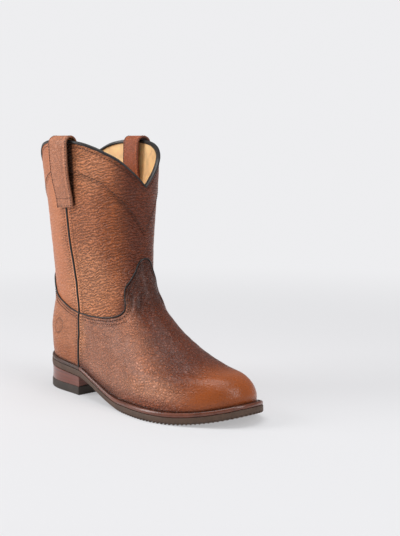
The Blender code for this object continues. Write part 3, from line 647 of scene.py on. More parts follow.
def shaft_relief(points, angles, rise, across, side):
    """The yoke's step, the folded edges and soft wrinkles."""
    below_collar = collar_line(angles) - points[..., 2]
    above_yoke = points[..., 2] - yoke_line(angles)
    height = SHAFT_FACE + (YOKE_FACE - SHAFT_FACE) * smooth(above_yoke, -0.0003, 0.0003)
    height = height + folded_edge(across) * smooth(below_collar, 0.0025, 0.004)
    height = height - 0.00028 * bump_at(above_yoke, -0.0004, 0.0006) - 0.00015 * bump_at(above_yoke, 0.0022, 0.0008)
    height = height - 0.00018 * bump_at(below_collar, 0.0062, 0.0007)
    soft = lumps(points, (0.045, 0.045, 0.03))
    wrinkles = lumps(points + 0.003 * soft[..., None], (0.012, 0.012, 0.0038))
    still = smooth(across, 0.005, 0.012) * smooth(below_collar, 0.004, 0.012)
    return height + still * (0.00035 * soft + 0.00016 * wrinkles)


def vamp_relief(points, angles, rise, across, side):
    """The top edge, soft pebbles and the creases of the throat."""
    below_top, edge = top_edge(points, angles)
    height = VAMP_FACE + folded_edge(across) + edge
    still = smooth(across, 0.006, 0.016) * smooth(below_top, 0.008, 0.018)
    toe = 1 - smooth(points[..., 0], 0.085, 0.125)
    soft = lumps(points, 0.022)
    pebbles = lumps(points, 0.0045)
    flex = lumps(points + 0.004 * soft[..., None], (0.006, 0.022, 0.010))
    fold = np.zeros_like(height)
    for x, z, lean, width, length, depth in VAMP_CREASES:
        along = (points[..., 0] - x) * lean[0] + (points[..., 2] - z) * lean[1]
        aside = -(points[..., 0] - x) * lean[1] + (points[..., 2] - z) * lean[0]
        aside = aside - 0.12 * along**2 / length
        crest = bump_at(aside, 0.0, width) - 0.55 * bump_at(aside, width * 1.9, width)
        fold = fold + depth * crest * bump_at(along, 0.0, length)
    near = smooth(rise, 0.04, 0.12)
    return height + near * still * toe * (0.0004 * soft + 0.00014 * pebbles + 0.0002 * flex) + near * fold


def counter_relief(points, angles, rise, across, side):
    """The top edge, faint lines and the bare badge."""
    below_top, edge = top_edge(points, angles)
    height = VAMP_FACE + folded_edge(across) + edge
    soft = lumps(points, (0.03, 0.03, 0.012))
    lines = lumps(points + 0.002 * soft[..., None], (0.016, 0.016, 0.0035))
    still = smooth(across, 0.006, 0.014) * smooth(below_top, 0.008, 0.015) * smooth(rise, 0.05, 0.15)
    return height - 0.0005 * badge_rim(points, side) + still * (0.00025 * soft + 0.0001 * lines)


# Materials


class Finish:
    """A material's node tree, added to one node at a time."""

    def __init__(self, name, roughness=0.5, **sockets):
        self.material = bpy.data.materials.new(name)
        self.material.use_nodes = True
        self.tree = self.material.node_tree
        self.shader = self.tree.nodes["Principled BSDF"]
        self.shader.inputs["Roughness"].default_value = roughness
        for key, value in sockets.items():
            self.shader.inputs[key.replace("_", " ")].default_value = value

    def add(self, kind, output=0, inputs=(), **settings):
        node = self.tree.nodes.new(kind)
        for key, value in settings.items():
            setattr(node, key, value)
        for key, value in dict(inputs).items():
            if isinstance(value, bpy.types.NodeSocket):
                self.tree.links.new(value, node.inputs[key])
            else:
                node.inputs[key].default_value = value
        return node.outputs[output]

    def place(self):
        return self.add("ShaderNodeTexCoord", "Object")

    def mapped(self, vector, scale=(1, 1, 1), turn=(0, 0, 0)):
        inputs = {"Vector": vector, "Scale": scale, "Rotation": turn}
        return self.add("ShaderNodeMapping", 0, inputs)

    def noise(self, vector, scale, detail=3.0, output=0):
        return self.add("ShaderNodeTexNoise", output, {"Vector": vector, "Scale": scale, "Detail": detail})

    def cells(self, vector, scale, feature="DISTANCE_TO_EDGE"):
        return self.add("ShaderNodeTexVoronoi", "Distance", {"Vector": vector, "Scale": scale}, feature=feature)

    def sum(self, first, second):
        return self.add("ShaderNodeMath", 0, {0: first, 1: second}, operation="ADD")

    def times(self, first, second):
        return self.add("ShaderNodeMath", 0, {0: first, 1: second}, operation="MULTIPLY")

    def between(self, value, low, high, to_low=0.0, to_high=1.0):
        inputs = {"Value": value, "From Min": low, "From Max": high, "To Min": to_low, "To Max": to_high}
        return self.add("ShaderNodeMapRange", 0, inputs, interpolation_type="SMOOTHSTEP")

    def moved(self, vector, by, amount):
        """A vector pushed about by a noise's colour."""
        centred = self.add("ShaderNodeVectorMath", 0, {0: by, 1: (0.5, 0.5, 0.5)}, operation="SUBTRACT")
        scaled = self.add("ShaderNodeVectorMath", 0, {0: centred, "Scale": amount}, operation="SCALE")
        return self.add("ShaderNodeVectorMath", 0, {0: vector, 1: scaled}, operation="ADD")

    def shaded(self, colour, factor):
        return self.add("ShaderNodeVectorMath", 0, {0: colour, "Scale": factor}, operation="SCALE")

    def attribute(self, name, output="Color"):
        return self.add("ShaderNodeAttribute", output, attribute_name=name)

    def colour(self, value):
        self.feed("Base Color", value)

    def feed(self, key, value):
        self.tree.links.new(value, self.shader.inputs[key])

    def bump(self, height, distance, strength=1.0):
        normal = self.add("ShaderNodeBump", 0, {"Height": height, "Distance": distance, "Strength": strength})
        self.feed("Normal", normal)


RIPPLE_TILT = 0.24


def grained_leather(name, scale, stretch, depth, roughness, shade, shares, coat=0.08):
    """Tumbled leather: ripples, pebbles and folds, in the given shares, over fine pores."""
    leather = Finish(name, roughness, Coat_Weight=coat, Coat_Roughness=0.3, Specular_IOR_Level=0.35)
    place = leather.place()
    drift = leather.noise(place, 45, 3, "Color")
    turned = leather.mapped(place, (1, 1, 1), (0, RIPPLE_TILT, 0))
    inputs = {
        "Vector": leather.moved(turned, drift, 0.006), "Scale": 98.0, "Distortion": 8.0, "Detail": 2.5,
        "Detail Scale": 1.5,
    }
    ripples = leather.add("ShaderNodeTexWave", "Fac", inputs, wave_type="BANDS", bands_direction="Z")
    warped = leather.moved(leather.mapped(place, stretch, (0, RIPPLE_TILT, 0)), drift, 0.008)
    pebbles = leather.between(leather.cells(warped, scale * 1.25), 0.0, 0.32)
    folds = leather.between(leather.noise(warped, scale, 2.5), 0.30, 0.70)
    pores = leather.noise(place, 1300, 2)
    grain = leather.attribute("grain", "Fac")
    relief = 0.0
    for pattern, share in zip((ripples, pebbles, folds), shares):
        if share:
            relief = leather.sum(leather.times(pattern, share), relief)
    # Painted shade in the grain's hollows and painted light on its ridges, by the shade given.
    tone = leather.times(leather.between(relief, 0.15, 0.85, -shade, 0.6 * shade), grain)
    cloud = leather.between(leather.noise(place, 38, 4), 0.3, 0.7, 0.93, 1.07)
    tone = leather.times(cloud, leather.sum(tone, 1.0))
    leather.colour(leather.shaded(leather.attribute("paint"), tone))
    leather.feed("Roughness", leather.between(relief, 0.2, 0.8, roughness + 0.10, roughness - 0.06))
    relief = leather.sum(leather.times(relief, grain), leather.times(pores, 0.015))
    leather.bump(relief, depth)
    return leather.material


def plain_leather(name, colour, roughness, grain_scale, depth, coat=0.0, mottle=0.25):
    """Smooth leather or waxed thread, a little cloudy."""
    leather = Finish(name, roughness, Coat_Weight=coat, Coat_Roughness=0.25)
    place = leather.place()
    cloud = leather.noise(place, 60, 4)
    fine = leather.noise(place, grain_scale, 4)
    mottled = leather.between(cloud, 0.3, 0.7, 1 - mottle, 1 + mottle)
    tone = leather.times(mottled, leather.between(fine, 0.3, 0.7, 0.93, 1.07))
    leather.colour(leather.shaded(tuple(linear(colour)), tone))
    leather.feed("Roughness", leather.between(cloud, 0.3, 0.7, roughness - 0.06, roughness + 0.08))
    leather.bump(fine, depth)
    return leather.material


def stacked_leather(name, colour):
    """Layers of leather on edge, stained and waxed."""
    stack = Finish(name, 0.3, Coat_Weight=0.5, Coat_Roughness=0.15)
    place = stack.place()
    drift = stack.noise(place, 12, 3, "Color")
    layers = stack.mapped(stack.moved(place, drift, 0.0012), (6, 6, 330))
    lines = stack.noise(layers, 1.0, 2)
    fibres = stack.noise(stack.mapped(place, (1, 1, 6)), 260, 4)
    tone = stack.times(stack.between(lines, 0.3, 0.7, 0.72, 1.22), stack.between(fibres, 0.3, 0.7, 0.92, 1.08))
    stack.colour(stack.shaded(tuple(linear(colour)), tone))
    stack.bump(stack.sum(lines, stack.times(fibres, 0.3)), 0.0002)
    return stack.material


def sole_rubber(name, colour, roughness):
    """Sanded sole edge with faint slanting file marks."""
    rubber = Finish(name, roughness)
    place = rubber.place()
    marks = rubber.noise(rubber.mapped(place, (900, 900, 260), (0.3, 0.5, 0.2)), 1.0, 3)
    cloud = rubber.noise(place, 70, 3)
    scratched = rubber.between(marks, 0.3, 0.7, 0.875, 1.125)
    tone = rubber.times(scratched, rubber.between(cloud, 0.3, 0.7, 0.88, 1.12))
    rubber.colour(rubber.shaded(tuple(linear(colour)), tone))
    rubber.bump(marks, 0.00015)
    return rubber.material


MATERIALS = {}


def make_materials():
    MATERIALS["shaft"] = grained_leather("shaft_leather", 190, (1, 1, 2.3), 0.0024, 0.38, 0.48, (0.42, 0.33, 0.25))
    MATERIALS["vamp"] = grained_leather("vamp_leather", 220, (1, 1, 1.4), 0.0020, 0.29, 0.32, (0.12, 0.5, 0.38), 0.2)
    MATERIALS["counter"] = grained_leather("counter_leather", 150, (1, 1, 2.4), 0.0026, 0.38, 0.6, (0.3, 0.3, 0.4))
    MATERIALS["strap"] = grained_leather("strap_leather", 260, (1, 1, 1.3), 0.0007, 0.40, 0.22, (0.0, 0.5, 0.5))
    MATERIALS["lining"] = plain_leather("lining_leather", "FFD79C", 0.6, 160, 0.0005, 0.0, 0.2)
    MATERIALS["edging"] = plain_leather("edging_leather", "1B1817", 0.36, 700, 0.0001, 0.1)
    MATERIALS["footbed"] = plain_leather("footbed_leather", "C79660", 0.6, 300, 0.0002)
    MATERIALS["welt"] = plain_leather("welt_leather", "6F3A26", 0.3, 600, 0.00012, 0.4)
    MATERIALS["rand"] = plain_leather("rand_leather", "4A2E22", 0.4, 600, 0.00012, 0.2)
    MATERIALS["stack"] = stacked_leather("stacked_leather", "6F2D12")
    MATERIALS["sole"] = sole_rubber("sole_rubber", "564032", 0.62)
    MATERIALS["lift"] = sole_rubber("lift_rubber", "3E342D", 0.6)
    MATERIALS["dark_thread"] = plain_leather("dark_thread", "3A2218", 0.5, 900, 0.0001)


# Piping, binding and straps


def full_ring(angles):
    """Angles and sides of a closed ring: the outer side from heel to toe, then the inner side back."""
    ring = np.concatenate([angles, angles[-2:0:-1]])
    side = np.concatenate([np.full(len(angles), OUTER), np.full(len(angles) - 2, INNER)])
    return ring, side


def collar_piece():
    """The folded binding over the collar, with rolled edges."""
    angles, side = full_ring(np.linspace(0, 180, 181))
    outside = YOKE_FACE + GAP
    inside = LINING_FACE - GAP
    section = (
        (outside, -0.0018), (outside + 0.0005, -0.0019), (outside + 0.0008, -0.0015), (outside + 0.0008, -0.0004),
        (outside + 0.0005, 0.0005), (outside - 0.0004, 0.0009), (inside + 0.0004, 0.0009),
        (inside - 0.0005, 0.0005), (inside - 0.0008, -0.0006), (inside - 0.0008, -0.0024),
        (inside - 0.0005, -0.0030), (inside, -0.0030), (inside, 0.0002), (outside, 0.0002),
    )
    rings = []
    for offset, shift in section:
        rise = rise_at(angles, np.minimum(collar_line(angles), SHAFT_HEIGHT) + shift)
        rings.append(lifted(angles, rise, side, offset))
    piece = ring_loft("collar_binding_rolled", np.array(rings), MATERIALS["edging"], True, 50)
    finish_piece(piece, "dark_edging", "collar_binding")


def swept(name, centre, normal, half_width, height, node):
    """A half-round cord along a line on the upper."""
    turns = np.radians(np.linspace(0, 180, 9))
    section = [(half_width * math.cos(turn), 0.0002 + height * math.sin(turn) ** 0.7) for turn in turns]
    ahead = np.gradient(centre, axis=0)
    ahead /= np.linalg.norm(ahead, axis=-1, keepdims=True)
    aside = np.cross(normal, ahead)
    rings = [centre + sideways * aside + lift * normal for sideways, lift in section]
    piece = ring_loft(name, np.moveaxis(np.array(rings), 0, 1), MATERIALS["edging"], False, 60)
    finish_piece(piece, "dark_edging", node)


def side_cord(name, side, node):
    """Piping in the side seam, from the welt to the foot of the pull strap."""
    top = float(rise_at(seam_angle(0.85), STRAP_TOP - STRAP_OUTER_LENGTH - 0.0006))
    rise = np.linspace(0.0, top, 260)
    angles = seam_angle(rise)
    centre = surface(angles, rise, side)
    normal = outward(angles, rise, side)
    above = smooth(centre[:, 2] - SIDE_MEETING, -0.001, 0.001)
    base = (VAMP_FACE * (1 - above) + SHAFT_FACE * above)[:, None] * normal
    swept(name, centre + base, normal, 0.0012, 0.0015, node)


def overlay_cord(name, front, node):
    """Edging along the top line of vamp or counter."""
    places = panel_places(front, None, overlay_line, np.array([1.0]), 0.0009, 150)
    angles, rise = places[0][0], places[1][0]
    rise = rise_at(angles, overlay_line(angles) + 0.0010)
    outer = surface(angles, rise, OUTER)
    inner = surface(angles, rise, INNER)[-2::-1]
    centre = np.concatenate([outer, inner])
    normal = np.concatenate([outward(angles, rise, OUTER), outward(angles, rise, INNER)[-2::-1]])
    swept(name, centre + SHAFT_FACE * normal, normal, 0.0008, 0.0014, node)


def strap_path():
    """Middle line of a pull strap as (distance outside the surface, height)."""
    half = STRAP_THICKNESS / 2
    spring = STRAP_TOP - STRAP_ARCH
    sewn_out = SHAFT_FACE + 0.0006 + GAP + half
    sewn_in = LINING_FACE - GAP - half
    free_out, free_in = sewn_out + STRAP_STANDOFF, sewn_in - STRAP_STANDOFF
    ups = np.linspace(0, 1, 28)
    away = curve_through(STRAP_LEG, ups)
    outer_foot, inner_foot = STRAP_TOP - STRAP_OUTER_LENGTH, STRAP_TOP - STRAP_INNER_LENGTH
    turns = np.radians(np.arange(9, 180, 9))
    outside = np.stack([sewn_out + away * STRAP_STANDOFF, outer_foot + ups * (spring - outer_foot)], 1)
    arch_out = (free_out + free_in) / 2 + (free_out - free_in) / 2 * np.cos(turns)
    arch = np.stack([arch_out, spring + (STRAP_ARCH - half) * np.sin(turns)], 1)
    inside = np.stack([sewn_in - away * STRAP_STANDOFF, inner_foot + ups * (spring - inner_foot)], 1)
    return np.concatenate([outside, arch, inside[::-1]])


def strap_frames():
    """A strap's path and, for each place on it, the direction away from the upper."""
    path = strap_path()
    ahead = np.gradient(path, axis=0)
    ahead /= np.linalg.norm(ahead, axis=-1, keepdims=True)
    return path, np.stack([ahead[:, 1], -ahead[:, 0]], -1)


def strap_point(offset, height, across, side):
    """A point of a strap: distance outside the surface, height, and distance from the strap's middle."""
    rise = rise_at(seam_angle(0.9), height)
    lean = STRAP_LEAN * smooth(height, STRAP_TOP - 0.070, STRAP_TOP) if side == OUTER else 0.0
    angle = seam_angle(rise) + (across + lean) * seam_reach(rise)
    return lifted(angle, rise, side, offset)


def strap_piece(name, side, node):
    """A folded and sewn pull strap, bent over the collar."""
    path, sideways = strap_frames()
    edge = STRAP_HALF
    crown = STRAP_THICKNESS / 2
    left = [(0.0, 0.0), (0.0003, 0.7), (0.0009, 1.0), (0.0018, 0.86), (0.0030, 0.94)]
    left = [(inset - edge, lift) for inset, lift in left]
    middle = [(across, 0.95) for across in np.linspace(-0.0095, 0.0095, 9)]
    top = left + middle + [(-across, lift) for across, lift in left[::-1]]
    back = [(-across, -0.9) for across in np.linspace(-edge + 0.0006, edge - 0.0006, 9)]
    rings = []
    for place, shift in zip(path, sideways):
        ring = []
        for across, lift in top + back:
            offset, height = place + shift * lift * crown
            ring.append(strap_point(offset, height, across, side))
        rings.append(ring)
    rings = np.array(rings)
    across = np.array([across for across, lift in top + back])
    # Painted light and shade on the strap: lighter on the band beyond the fold line, painted shade in that crease,
    # along the rows of stitches, on the back and on the edge by the shaft, and darker below the lower cross row; the
    # inner strap's darker tone is painted shade.
    tone = linear(STRAP_TONES[side])
    fold = smooth(across, 0.0080, 0.0088)
    shade = 1 + 0.16 * fold - 0.45 * bump_at(across, 0.0078, 0.0007)
    shade = shade - 0.5 * bump_at(np.abs(across), edge - STRAP_ROW_INSET, 0.0007)
    shade = shade * np.where(np.arange(len(across)) >= len(top), 0.3, 1.0) * (1 - 0.6 * (across > edge - 0.0005))
    below = (rings[..., 2] < STRAP_TOP - 0.0752)[..., None]
    colours = tone * shade[None, :, None] * np.where(below, 0.85, 1.0)
    piece = ring_loft(name, rings, MATERIALS["strap"], False, 50, colours)
    finish_piece(piece, "strap_leather", node)


# Stitching


def stitch_rows(name, rows, length, pitch, thickness):
    """One rounded stitch, copied along rows given as (points, normals) and joined into one piece."""
    deselect()
    bpy.ops.mesh.primitive_uv_sphere_add(segments=6, ring_count=5, radius=0.5)
    stitch = bpy.context.object
    stitch.data.materials.append(MATERIALS["dark_thread"])
    copies = []
    for points, normals in rows:
        steps = np.linalg.norm(np.diff(points, axis=0), axis=1)
        reach = np.concatenate([[0], np.cumsum(steps)])
        count = max(int(reach[-1] / pitch), 1)
        for middle in (np.arange(count) + 0.5) * reach[-1] / count:
            places = np.array([middle - length / 2, middle + length / 2])
            ends = np.stack([np.interp(places, reach, points[:, axis]) for axis in range(3)], 1)
            up = np.array([np.interp(middle, reach, normals[:, axis]) for axis in range(3)])
            ahead = ends[1] - ends[0]
            ahead /= max(np.linalg.norm(ahead), 1e-9)
            up = up - ahead * up.dot(ahead)
            up /= np.linalg.norm(up)
            turned = np.eye(4)
            turned[:3] = np.stack([ahead * length, np.cross(up, ahead) * thickness, up * thickness, ends.mean(0)], 1)
            copy = stitch.copy()
            copy.data = stitch.data.copy()
            copy.matrix_world = Matrix(turned.tolist())
            bpy.context.scene.collection.objects.link(copy)
            copies.append(copy)
    bpy.data.objects.remove(stitch)
    deselect()
    for copy in copies:
        copy.select_set(True)
    piece = copies[0]
    bpy.context.view_layer.objects.active = piece
    bpy.ops.object.join()
    bpy.ops.object.transform_apply(location=True, rotation=True, scale=True)
    piece.name = piece.data.name = name
    close_solid(piece, 60)
    finish_piece(piece, "stitch_thread")


def row_on_upper(angles, rise, side, offset):
    """Points of a row on the upper, with their outward directions."""
    return lifted(angles, rise, side, offset), outward(angles, rise, side) * np.ones((len(angles), 1))


def seam_rows():
    """Rows beside the side seams, on the vamp and counter and then on the shaft up to the straps."""
    rows = []
    for side in (OUTER, INNER):
        for way in (-1, 1):
            rise = np.linspace(0.02, 0.97, 500)
            angles = seam_angle(rise) + way * (GROOVE + 0.0032) * seam_reach(rise)
            height = surface(angles, rise, OUTER)[..., 2]
            above = height - overlay_line(angles)
            on_shaft = (above > 0.0025) & (height < SHAFT_HEIGHT - 0.0695)
            for keep, face in ((above < -0.0015, VAMP_FACE), (on_shaft, SHAFT_FACE)):
                rows.append(row_on_upper(angles[keep], rise[keep], side, face + 0.00055))
    return rows


def line_rows(front, line, drop, face, first=0.004, last=None):
    """A row of stitches at a distance below a line, measured square to it along the surface."""
    seam = float(seam_angle(MEETING_RISE if line is overlay_line else 0.9))
    centre = 180.0 if front else 0.0
    angles = np.linspace(seam, centre if last is None else last, 500)
    rise = rise_at(angles, line(angles))
    across = np.linalg.norm(along_ring(angles, rise, OUTER), axis=-1)
    upward = surface(angles, rise + 0.005, OUTER) - surface(angles, rise - 0.005, OUTER)
    upward = np.linalg.norm(upward, axis=-1) / 0.01
    step_across, step_up = np.gradient(angles) * across, np.gradient(rise) * upward
    length = np.hypot(step_across, step_up)
    way = 1 if front else -1
    angles = angles + step_up / length * way * drop / across
    rise = rise - step_across / length * way * drop / upward
    beyond = way * (angles - seam_angle(rise)) / seam_reach(rise)
    keep = (beyond > first) & (way * angles <= way * centre + 0.01)
    angles, rise = angles[keep], rise[keep]
    outer = row_on_upper(angles, rise, OUTER, face)
    inner = row_on_upper(angles, rise, INNER, face)
    if last is not None:
        return [outer, inner]
    return [(np.concatenate([outer[0], inner[0][-2::-1]]), np.concatenate([outer[1], inner[1][-2::-1]]))]


def strap_rows():
    """Two rows along each strap and two across its foot."""
    rows = []
    path, sideways = strap_frames()
    crown = STRAP_THICKNESS / 2
    for side in (OUTER, INNER):
        for across in (-STRAP_HALF + STRAP_ROW_INSET, STRAP_HALF - STRAP_ROW_INSET):
            points, normals = [], []
            for place, shift in zip(path, sideways):
                offset, height = place + shift * crown * 0.92
                low = strap_point(*(place + shift * crown * 0.2), across, side)
                point = strap_point(offset, height, across, side)
                points.append(point)
                normals.append((point - low) / np.linalg.norm(point - low))
            rows.append((np.array(points), np.array(normals)))
        for height in (STRAP_TOP - 0.0752, STRAP_TOP - 0.0672):
            widths = np.linspace(-STRAP_HALF + STRAP_ROW_INSET, STRAP_HALF - STRAP_ROW_INSET, 24)
            offset = SHAFT_FACE + 0.0006 + GAP + STRAP_THICKNESS
            points = np.array([strap_point(offset - 0.0001, height, across, side) for across in widths])
            normals = np.array([strap_point(offset + 0.001, height, across, side) for across in widths]) - points
            rows.append((points, normals / np.linalg.norm(normals, axis=1, keepdims=True)))
    return rows


# Bottom of the boot


def outline(side, angles, ledge):
    """One side's plan, at a distance outside the feather line."""
    point = surface(angles, 0.0, side)[..., :2]
    ahead = along_ring(angles, 0.0, side)[..., :2]
    ahead /= np.linalg.norm(ahead, axis=-1, keepdims=True)
    away = side * np.stack([-ahead[..., 1], ahead[..., 0]], -1)
    return point + np.asarray(ledge)[..., None] * away


def ledge_at(angles):
    """How far the welt stands out."""
    return WELT_LEDGE * bottom_share(surface(angles, 0.0, OUTER)[..., 0] + CENTRE_X, 3)


def even_angles(first, last, step):
    """Angles of the feather line at even distances."""
    dense = np.linspace(first, last, 1500)
    line = surface(dense, 0.0, OUTER)
    reach = np.concatenate([[0], np.cumsum(np.linalg.norm(np.diff(line, axis=0), axis=1))])
    count = int(reach[-1] / step) + 1
    return np.interp(np.linspace(0, reach[-1], count), reach, dense)


def ring_plan(angles, ledge):
    """A closed outline, round both sides."""
    outer = outline(OUTER, angles, ledge)
    inner = outline(INNER, angles, ledge)
    return np.concatenate([outer, inner[-2:0:-1]])


def with_height(plan, height):
    return np.concatenate([plan, np.asarray(height)[:, None]], 1)


def sole_solid(name, rings, material, angle=35):
    """A plate through outlines, capped from its edge to its middle line above and below."""
    caps = []
    for ring in (rings[0], rings[-1]):
        low = ring.copy()
        low[:, 1] = np.interp(ring[:, 0], MIDDLE_LINE[:, 0], MIDDLE_LINE[:, 1])
        caps.append(low)
    points = np.array([caps[0], *rings, caps[1]])
    points = np.concatenate([points, points[:, :1]], 1)
    piece = grid_sheet(name, points, material)
    close_solid(piece, angle)
    return piece


def middle_line():
    """The line half-way between the feather line's two sides, as x and y."""
    angles = np.linspace(0, 180, 400)
    outer = surface(angles, 0.0, OUTER)
    inner = surface(angles, 0.0, INNER)
    return np.stack([outer[:, 0], (outer[:, 1] + np.interp(outer[:, 0], inner[:, 0], inner[:, 1])) / 2], 1)


MIDDLE_LINE = middle_line()


def outsole_piece():
    """The sole, with its notched edge under the forepart."""
    angles = even_angles(0, 180, 0.00055)
    ledge = ledge_at(angles)
    plan_x = ring_plan(angles, ledge)[:, 0] + CENTRE_X
    number = np.arange(len(plan_x))
    fore = smooth(plan_x, TREAD_START - 0.012, TREAD_START + 0.01)
    notch = (np.cos(2 * math.pi * number / 8.0) > -0.1) * fore
    ones = np.ones(len(plan_x))

    def level(inset, height):
        plan = ring_plan(angles, ledge)
        inner = ring_plan(angles, ledge - 0.004)
        part = (inset * ones)[:, None] / 0.004
        plan = plan * (1 - part) + inner * part
        return with_height(plan, height(plan[:, 0] + CENTRE_X))

    rings = [
        level(0.0040, lambda x: sole_bottom(x) + 0.0002),
        level(0.0010, lambda x: sole_bottom(x) + 0.0017 * notch),
        level(0.0006 + 0.0012 * notch, lambda x: sole_bottom(x) + 0.0002 + 0.0017 * notch),
        level(0.0001 + 0.0014 * notch, lambda x: sole_bottom(x) + 0.0009 + 0.0010 * notch),
        level(0.0, lambda x: sole_bottom(x) + 0.0022),
        level(0.0, lambda x: sole_bottom(x) * 0.5 + sole_top(x) * 0.5),
        level(0.0001, lambda x: sole_top(x) - 0.0006),
        level(0.0005, sole_top),
    ]
    piece = sole_solid("outsole_edge_dressed", rings, MATERIALS["sole"], 40)
    finish_piece(piece, "sole_rubber", "outsole")


def edge_strip(name, angles, loops, material, end_x, node):
    """A strip round the boot through loops of (ledge, height), cut square at the heel's breast."""
    rings = []
    for ledge, height in loops:
        plan = ring_plan_open(angles, ledge)
        ring = with_height(plan, height(plan[:, 0] + CENTRE_X))
        ring[0, 0] = ring[-1, 0] = end_x - CENTRE_X
        rings.append(ring)
    piece = ring_loft(name, np.moveaxis(np.array(rings), 0, 1), material, False, 45)
    finish_piece(piece, "welt_leather", node)


def ring_plan_open(angles, ledge):
    """An outline from the outer side's first angle round its end to the inner side's."""
    outer = outline(OUTER, angles, ledge)
    inner = outline(INNER, angles, ledge)
    return np.concatenate([outer, inner[-2::-1]])


def breast_angle():
    """The angle at which the feather line passes the heel's breast."""
    angles = np.linspace(0, 90, 721)
    return float(np.interp(HEEL_LENGTH - CENTRE_X, surface(angles, 0.0, OUTER)[..., 0], angles))


def welt_loops(angles, setback, groove):
    """Section of welt and rand: round lip outside, sewn groove on top, inner end under the upper."""
    ledge = ledge_at(angles) - setback
    inside = np.full(len(angles), LINING_FACE)
    return (
        (inside, lambda x: sole_top(x) + GAP),
        (ledge - 0.0006, lambda x: sole_top(x) + GAP),
        (ledge, lambda x: sole_top(x) + GAP + 0.0006),
        (ledge + 0.0002, lambda x: sole_top(x) * 0.5 + welt_top(x) * 0.5),
        (ledge - 0.0002, lambda x: welt_top(x) - 0.0009),
        (ledge - 0.0011, lambda x: welt_top(x) - 0.0001),
        (ledge * 0.5 + 0.0002, lambda x: welt_top(x) - groove),
        (ledge * 0.25 + 0.0001, lambda x: welt_top(x) - groove * 0.4),
        (np.full(len(angles), -0.0002), lambda x: welt_top(x)),
        (inside, welt_top),
    )


def welt_piece():
    angles = even_angles(breast_angle(), 180, 0.0015)
    edge_strip(
        "welt_storm", angles, welt_loops(angles, 0.0005, 0.0006), MATERIALS["welt"],
        HEEL_LENGTH + GAP / 2, "welt",
    )


def rand_piece():
    angles = even_angles(0, breast_angle(), 0.0015)[::-1]
    edge_strip(
        "heel_rand_cupped", angles, welt_loops(angles, 0.0004, 0.0002), MATERIALS["rand"],
        HEEL_LENGTH - GAP / 2, "heel_rand",
    )


def welt_rows():
    angles = even_angles(breast_angle() + 2.5, 180, 0.002)
    ledge = (ledge_at(angles) - 0.0005) * 0.5 + 0.0002
    plan = ring_plan_open(angles, ledge)
    points = with_height(plan, welt_top(plan[:, 0] + CENTRE_X) - 0.0004)
    normals = np.tile([0.0, 0.0, 1.0], (len(points), 1))
    return [(points, normals)]


def heel_ring(share, height):
    """An outline of the heel, with its hollow breast."""
    angles = even_angles(0, breast_angle(), 0.0015)
    ledge = ledge_at(angles) * share
    outer = outline(OUTER, angles, ledge)
    inner = outline(INNER, angles, ledge)
    outer[-1, 0] = inner[-1, 0] = HEEL_LENGTH - CENTRE_X
    across = np.linspace(0, 1, 40)[1:-1]
    breast = outer[-1] + across[:, None] * (inner[-1] - outer[-1])
    breast[:, 0] -= HEEL_BREAST_CURVE * (1 - (2 * across - 1) ** 2)
    plan = np.concatenate([outer, breast, inner[:0:-1]])
    return with_height(plan, height(plan[:, 0] + CENTRE_X))


def heel_pieces():
    """The stack of leather and the rubber lift under it."""
    floor = LIFT_HEIGHT + GAP

    def stack_level(share):
        return lambda x: floor + share * (sole_bottom(np.minimum(x, HEEL_LENGTH - GAP)) - GAP - floor)

    rings = [heel_ring(share, stack_level(up)) for up, share in STACK_SIDE]
    piece = sole_solid("heel_stack_leather", rings, MATERIALS["stack"])
    finish_piece(piece, "stacked_leather", "heel_stack")
    rings = [heel_ring(share, lambda x, up=up: np.full(len(x), up * LIFT_HEIGHT)) for up, share in LIFT_SIDE]
    piece = sole_solid("heel_lift_rubber", rings, MATERIALS["lift"])
    finish_piece(piece, "lift_rubber", "heel_lift")


# Settings, operators and panel


class RoperBootSettings(bpy.types.PropertyGroup):
    """Sizes and lights a user may change."""

    stitch_length: FloatProperty(
        name="Stitch length", description="Length of one stitch", default=0.0022, unit="LENGTH"
    )
    stitch_pitch: FloatProperty(
        name="Stitch pitch", description="Distance from stitch to stitch", default=0.0030, unit="LENGTH"
    )
    thread: FloatProperty(name="Thread", description="Thickness of the sewing thread", default=0.0009, unit="LENGTH")
    leather: FloatProperty(name="Leather", description="Thickness of the outer leather", default=0.0009, unit="LENGTH")
    key_light: FloatProperty(name="Key light", description="Power of the large soft light", default=16.0, unit="POWER")
    fill_light: FloatProperty(name="Fill light", description="Power of the fill light", default=7.0, unit="POWER")
    top_light: FloatProperty(name="Top light", description="Power of the light above", default=10.0, unit="POWER")
    backdrop: FloatVectorProperty(
        name="Backdrop", description="Colour of the floor and backdrop", default=(0.853, 0.853, 0.869), subtype="COLOR"
    )


